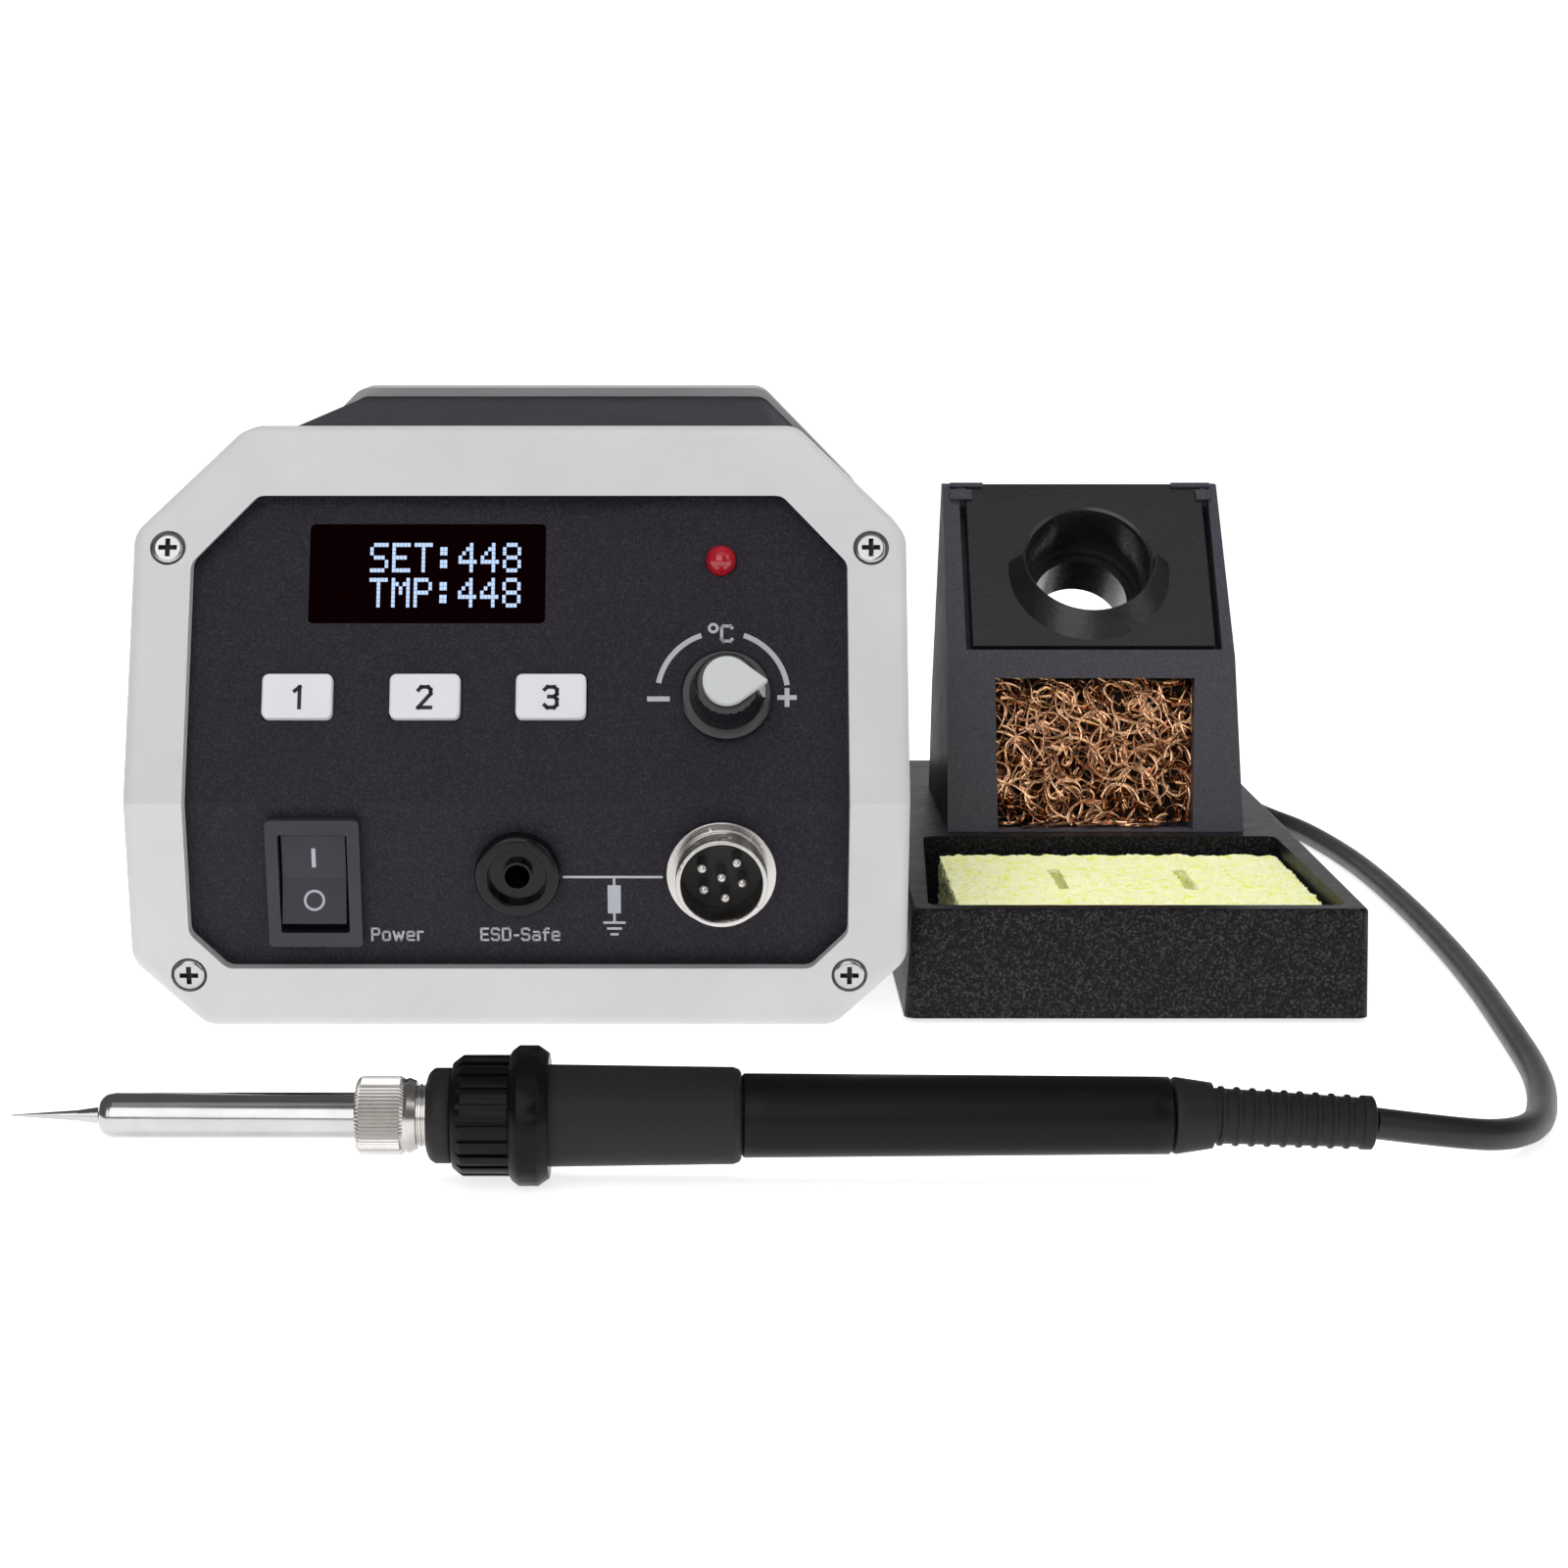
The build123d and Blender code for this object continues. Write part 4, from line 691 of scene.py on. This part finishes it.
def screw_shadows():
    """Painted shade: a dark floor in each front screw's cross recess, so that the cross reads under soft light."""
    lift = PANEL_DEPTH - CROSS_DEPTH
    for name, face, screw, origin in (
        ("upper", UPPER, SCREW_TOP, KNOB_PLACE),
        ("lower", LOWER, SCREW_BOTTOM, JACK_PLACE),
    ):
        for side, word in ((-1, "left"), (1, "right")):
            floor = cross(CROSS_REACH, CROSS_HALF_WIDE, CROSS_FLOOR)
            x, y = side * screw[0] - origin[0], screw[1] - origin[1]
            printed(f"cross_{name}_{word}", floor, face, x, y, lift, PRINT_AND_SHADE_BLACK, slot="knob_black")


ROCKER_LEAN = math.radians(8.8)
PADDLE_SLOPE = math.atan2(1.1, 7.2)
PADDLE_LIFT = 3.6
ROCKER_MARK_PLACE = 3.5
ON_HALF_WIDE, ON_HALF_TALL = 0.32, 1.6
OFF_RADIUS, OFF_WIDTH, OFF_STEPS = 1.5, 0.4, 32


def rocker_marks():
    """The on and off marks, on the two sloping halves of the paddle."""
    pivot = Vector(JOINTS["power_rocker"]["pos_m"])
    line = bar(-ON_HALF_WIDE, -ON_HALF_TALL, ON_HALF_WIDE, ON_HALF_TALL, PRINT_THICK)
    ring = ring_arc((0, 0), OFF_RADIUS, OFF_WIDTH, 0, FULL_RING, PRINT_THICK, OFF_STEPS)
    for name, side, shape in (("on_mark", 1, line), ("off_mark", -1, ring)):
        lean = Matrix.Rotation(-ROCKER_LEAN, 4, "X") @ Matrix.Translation((0, 0, PADDLE_LIFT * MM))
        slope = Matrix.Rotation(side * PADDLE_SLOPE, 4, "X")
        slope = slope @ Matrix.Translation((0, side * ROCKER_MARK_PLACE * MM, 0))
        turn = Matrix((LOWER.right, LOWER.up, LOWER.out)).transposed().to_4x4()
        place = Matrix.Translation(pivot) @ turn @ lean @ slope
        vertices, faces = shape
        add_mesh(name, vertices, faces, PRINT_GREY, "rocker", place)


# ---- wool ----
WOOL_FRONT_SLOPE = 10.2 / 27.8
WOOL_FRONT_GAP = 0.4
# In the top of that space the funnel takes this much off its back.
WOOL_SHELF_TALL, WOOL_SHELF_DEEP = 6, 7
WOOL_INSET = 0.8
WOOL_SEED = 7
STRANDS = 680
STRAND_HALF_WIDE, STRAND_HALF_THICK = 0.27, 0.03
# Two strands in three start near the window, this far behind the tower's front wall.
NEAR_WINDOW = (1, 6)
CURL_RADIUS = (0.9, 3.0)
CURL_DRIFT = (0.4, 2.2)
CURL_TURNS = (0.8, 2.4)
CURL_POINTS_PER_TURN, CURL_POINTS_MORE = 9, 3
CURL_SWELL, CURL_SWELL_PACE = 0.35, 0.7
CURL_TWIST = 0.4


def wool_point(point, low, high):
    """The point, brought inside the space between the tower's front wall and the funnel."""
    front = low.y + (point.z - low.z) * WOOL_FRONT_SLOPE + WOOL_FRONT_GAP * MM
    back = high.y if point.z < high.z - WOOL_SHELF_TALL * MM else high.y - WOOL_SHELF_DEEP * MM
    x = min(max(point.x, low.x), high.x)
    y = min(max(point.y, front), back)
    z = min(max(point.z, low.z), high.z)
    return Vector((x, y, z))


def add_strand(curve, rng, strand, low, high):
    """One curl of turnings, as a spline of the curve."""
    place = Vector([rng.uniform(low[i], high[i]) for i in range(3)])
    if strand % 3:
        place.y = low.y + (place.z - low.z) * WOOL_FRONT_SLOPE + rng.uniform(*NEAR_WINDOW) * MM
    axis = Vector([rng.uniform(-1, 1) for _ in range(3)]).normalized()
    side = axis.orthogonal().normalized()
    other = axis.cross(side)
    radius = rng.uniform(*CURL_RADIUS) * MM
    drift = rng.uniform(*CURL_DRIFT) * MM
    turns = rng.uniform(*CURL_TURNS)
    count = int(turns * CURL_POINTS_PER_TURN) + CURL_POINTS_MORE
    spline = curve.splines.new("NURBS")
    spline.points.add(count - 1)
    for i in range(count):
        angle = turns * 2 * math.pi * i / (count - 1)
        swell = radius * (1 + CURL_SWELL * math.sin(angle * CURL_SWELL_PACE + strand))
        spoke = side * math.cos(angle) + other * math.sin(angle)
        point = place + spoke * swell + axis * drift * angle
        spline.points[i].co = (*wool_point(point, low, high), 1)
        spline.points[i].tilt = angle * CURL_TWIST
    spline.order_u = 3
    spline.use_endpoint_u = True


def curled_wool():
    """Thin flat brass turnings, curling through the space behind the stand's window."""
    rng = random.Random(WOOL_SEED)
    inset = Vector((WOOL_INSET, WOOL_INSET, WOOL_INSET)) * MM
    low, high = (Vector(c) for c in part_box("wool"))
    low, high = low + inset, high - inset
    curve = bpy.data.curves.new("curled_wool", "CURVE")
    curve.dimensions = "3D"
    curve.extrude = STRAND_HALF_WIDE * MM
    curve.bevel_depth = STRAND_HALF_THICK * MM
    curve.bevel_resolution = 0
    curve.resolution_u = 3
    for strand in range(STRANDS):
        add_strand(curve, rng, strand, low, high)
    curve.materials.append(LOOKS["brass_wool"])
    piece = add_object("curled_wool", curve)
    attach(piece, "stand")
    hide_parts("wool")


def wool_core():
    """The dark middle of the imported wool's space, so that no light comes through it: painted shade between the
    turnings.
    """
    low, high = (Vector(c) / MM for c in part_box("wool"))
    side_gap, floor_gap, top_gap, back_gap = 0.1, 0.5, 1.5, 1
    front_foot, front_top = low.y + 6, low.y + 13
    back_step, back_step_z = high.y - 9, high.z - 6
    outline = [
        (front_foot, low.z + floor_gap),
        (high.y - back_gap, low.z + floor_gap),
        (high.y - back_gap, back_step_z),
        (back_step, high.z - top_gap),
        (front_top, high.z - top_gap),
    ]
    count = len(outline)
    walls = (low.x + side_gap, high.x - side_gap)
    vertices = [(x * MM, y * MM, z * MM) for x in walls for y, z in outline]
    faces = [tuple(range(count)), tuple(range(2 * count - 1, count - 1, -1))]
    faces += [(i, count + i, count + (i + 1) % count, (i + 1) % count) for i in range(count)]
    add_mesh("wool_core", vertices, faces, WOOL_SHADE_CORE, "stand")


# ---- sponge ----
SPONGE_VOXEL = 0.45
# The torn surface: each layer's name, grain size and depth in millimetres.
SPONGE_LAYERS = (("waves", 4.0, 0.7), ("pores", 1.2, 0.9))
SPONGE_LEVEL = 0.6


def bake_modifiers(piece):
    """Applies every modifier to the piece's own mesh."""
    bpy.context.view_layer.update()
    graph = bpy.context.evaluated_depsgraph_get()
    mesh = bpy.data.meshes.new_from_object(piece.evaluated_get(graph))
    piece.modifiers.clear()
    piece.data = mesh


def sponge_piece():
    """The sponge's own shape with a torn, pored surface."""
    mesh = frame["nodes"]["sponge"].data.copy()
    mesh.name = "sponge_body"
    piece = add_object("sponge_body", mesh)
    remesh = piece.modifiers.new("remesh", "REMESH")
    remesh.mode = "VOXEL"
    remesh.voxel_size = SPONGE_VOXEL * MM
    for name, size, depth in SPONGE_LAYERS:
        texture = bpy.data.textures.new(name, "CLOUDS")
        texture.noise_scale = size * MM
        texture.noise_depth = 2
        displace = piece.modifiers.new(name, "DISPLACE")
        displace.texture = texture
        displace.texture_coords = "LOCAL"
        displace.strength = depth * MM
        displace.mid_level = SPONGE_LEVEL
    bake_modifiers(piece)
    piece.data.materials.clear()
    piece.data.materials.append(LOOKS["sponge_yellow"])
    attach(piece, "sponge")
    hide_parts("sponge")


# ---- knurled nut ----
NUT_RIDGES = 60
NUT_POINTS_PER_RIDGE = 4
NUT_RIDGE_TALL = 0.2
NUT_FRONT_BORE, NUT_BACK_BORE = 3.3, 4.45


def nut_rings(length, radius):
    """The nut's profile from its front: place along the axis, radius and share of the ridges' height."""
    return [
        (0.0, NUT_FRONT_BORE, 0),
        (0.0, radius - 0.7, 0),
        (0.35, radius - 0.3, 0.5),
        (0.7, radius - 0.2, 1),
        (length - 2.2, radius - 0.2, 1),
        (length - 1.8, radius - 0.35, 0.3),
        (length - 1.6, radius - 0.4, 0),
        (length - 1.1, radius - 0.2, 0),
        (length, radius - 0.65, 0),
        (length, NUT_BACK_BORE, 0),
    ]


def knurled_nut():
    """A ring with straight knurling, a smooth shoulder and rounded ends, about the iron's axis."""
    low, high = (Vector(c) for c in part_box("knurled_nut"))
    centre = (low + high) / 2
    radius = (high.z - low.z) / 2 / MM
    length = (high.x - low.x) / MM
    around = NUT_RIDGES * NUT_POINTS_PER_RIDGE
    rings = nut_rings(length, radius)
    vertices, faces = [], []
    for along, ring, cut in rings:
        for i in range(around):
            angle = 2 * math.pi * i / around
            reach = ring + NUT_RIDGE_TALL * cut * math.cos(angle * NUT_RIDGES)
            across = Vector((0, math.cos(angle), math.sin(angle))) * reach * MM
            vertices.append((low.x + along * MM, centre.y + across.y, centre.z + across.z))
    for near in range(len(rings)):
        far = (near + 1) % len(rings)
        for i in range(around):
            j = (i + 1) % around
            faces.append((near * around + i, near * around + j, far * around + j, far * around + i))
    piece = add_mesh("knurled_nut_ring", vertices, faces, LOOKS["nickel"], "tip_nut")
    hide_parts("knurled_nut")


# ---- cable ----
def cable():
    """The iron's cable: its free run, its coil and the tail up to the plug, as one round tube."""
    curve = bpy.data.curves.new("iron_cable", "CURVE")
    curve.dimensions = "3D"
    curve.bevel_depth = CORD_DIAMETER / 2
    curve.bevel_resolution = 6
    curve.resolution_u = 8
    curve.use_fill_caps = True
    points = CORD_ROUTE + coil_points() + TAIL_ROUTE
    spline = curve.splines.new("NURBS")
    spline.points.add(len(points) - 1)
    for target, (x, y, z) in zip(spline.points, points):
        target.co = (x * MM, y * MM, z * MM, 1)
    spline.order_u = 3
    spline.use_endpoint_u = True
    curve.materials.append(LOOKS["cable_black"])
    piece = add_object("iron_cable", curve)
    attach(piece, "iron")
    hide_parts("iron_cord", "cord_coil", "cord_tail")


TIE_BEARING = math.radians(20)
TIE_WIDE, TIE_THICK = 4.0, 0.4
TIE_CORNER = 2.2
TIE_CORNER_STEPS = 4
# The tie's inner face presses this far into the bundle.
TIE_BITE = 0.1
# Underneath, its loop starts this far above the bench and nothing of it comes lower than the floor gap.
TIE_LOW = 0.3
TIE_FLOOR_GAP = 0.02


def tie_loop():
    """The tie's rounded loop about the bundle: each corner's centre and direction, round in order."""
    cord_radius = CORD_DIAMETER / MM / 2
    inner = COIL_INNER - cord_radius + TIE_CORNER
    outer = COIL_OUTER + cord_radius - TIE_CORNER
    top = COIL_UPPER_LAYER + cord_radius - TIE_CORNER
    low = TIE_CORNER + TIE_LOW
    loop = []
    for x, z, start in ((outer, top, 0), (inner, top, 90), (inner, low, 180), (outer, low, 270)):
        for step in range(TIE_CORNER_STEPS + 1):
            turn = math.radians(start + step * 90 / TIE_CORNER_STEPS)
            loop.append((x, z, math.cos(turn), math.sin(turn)))
    return loop


def coil_tie():
    """A flat tie round the coil's bundle of turns, at its far side."""
    loop = tie_loop()
    along = Vector((-math.sin(TIE_BEARING), math.cos(TIE_BEARING), 0))
    outward = Vector((math.cos(TIE_BEARING), math.sin(TIE_BEARING), 0))
    vertices = []
    for half in (-TIE_WIDE / 2, TIE_WIDE / 2):
        for reach in (TIE_CORNER - TIE_BITE, TIE_CORNER + TIE_THICK):
            for x, z, cos, sin in loop:
                place = Vector((*COIL_CENTRE, 0)) + outward * (x + reach * cos) + along * half
                place.z = max(z + reach * sin, TIE_FLOOR_GAP)
                vertices.append(place * MM)
    count = len(loop)
    faces = []
    for a, b in ((0, 1), (1, 3), (3, 2), (2, 0)):
        for i in range(count):
            j = (i + 1) % count
            faces.append((a * count + i, a * count + j, b * count + j, b * count + i))
    add_mesh("coil_tie", vertices, faces, LOOKS["rubber"], "iron")


# ---- studio ----
def area_light(name, place, aim, size, power, mirrored=True):
    """A soft light; one that isn't mirrored lights surfaces without showing in their gloss."""
    data = bpy.data.lights.new(name, "AREA")
    data.shape = "RECTANGLE"
    data.size, data.size_y = size
    data.energy = power
    light = add_object(name, data)
    light.visible_glossy = mirrored
    light.location = place
    light.rotation_euler = (Vector(aim) - Vector(place)).to_track_quat("-Z", "Y").to_euler()


def stage_sheet(name, corners, glow):
    """A plain white sheet of the studio that gives off a little light of its own."""
    mesh = bpy.data.meshes.new(name)
    mesh.from_pydata(corners, [], [(0, 1, 2, 3)])
    look = Look(name, (0.9, 0.9, 0.9), rough=0.8, specular=0.1)
    look.shader.inputs["Emission Color"].default_value = (1, 1, 1, 1)
    look.shader.inputs["Emission Strength"].default_value = glow
    mesh.materials.append(look.material)
    sheet = add_object(name, mesh)


WORLD_LIGHT = 0.14
FLOOR_GLOW, BACKDROP_GLOW = 0.75, 1.0
SHEET_HALF, SHEET_FAR, BACKDROP_TALL = 6.0, 3.0, 0.7


def studio():
    """A white table and backdrop, dim surroundings and four soft lights."""
    world = bpy.data.worlds.new("studio")
    world.use_nodes = True
    background = world.node_tree.nodes["Background"]
    background.inputs["Color"].default_value = (1, 1, 1, 1)
    background.inputs["Strength"].default_value = WORLD_LIGHT
    bpy.context.scene.world = world
    bpy.context.scene.view_settings.view_transform = "Standard"
    area_light("key", place=(-0.25, -1.0, 0.55), aim=(0, 0, 0.03), size=(0.9, 0.85), power=4.7)
    area_light("sheen", place=(0.0, -0.42, 0.8), aim=(0, -0.05, 0), size=(0.8, 0.45), power=0.7)
    area_light("fill", place=(0.7, -0.5, 0.5), aim=(0.03, 0, 0.03), size=(0.4, 0.6), power=0.9)
    area_light("top", place=(0.0, 0.1, 0.9), aim=(0, 0, 0), size=(0.8, 0.5), power=5.4, mirrored=False)
    near_edge = [(-SHEET_HALF, -SHEET_HALF, 0), (SHEET_HALF, -SHEET_HALF, 0)]
    far_left, far_right = (-SHEET_HALF, SHEET_FAR, 0), (SHEET_HALF, SHEET_FAR, 0)
    top_edge = [(SHEET_HALF, SHEET_FAR, BACKDROP_TALL), (-SHEET_HALF, SHEET_FAR, BACKDROP_TALL)]
    stage_sheet("floor", near_edge + [far_right, far_left], FLOOR_GLOW)
    stage_sheet("backdrop", [far_left, far_right] + top_edge, BACKDROP_GLOW)


add_camera()
studio()
cable()
dress_nodes()
knurled_nut()
display_text()
panel_marks()
lower_marks()
screw_shadows()
rocker_marks()
curled_wool()
wool_core()
coil_tie()
sponge_piece()
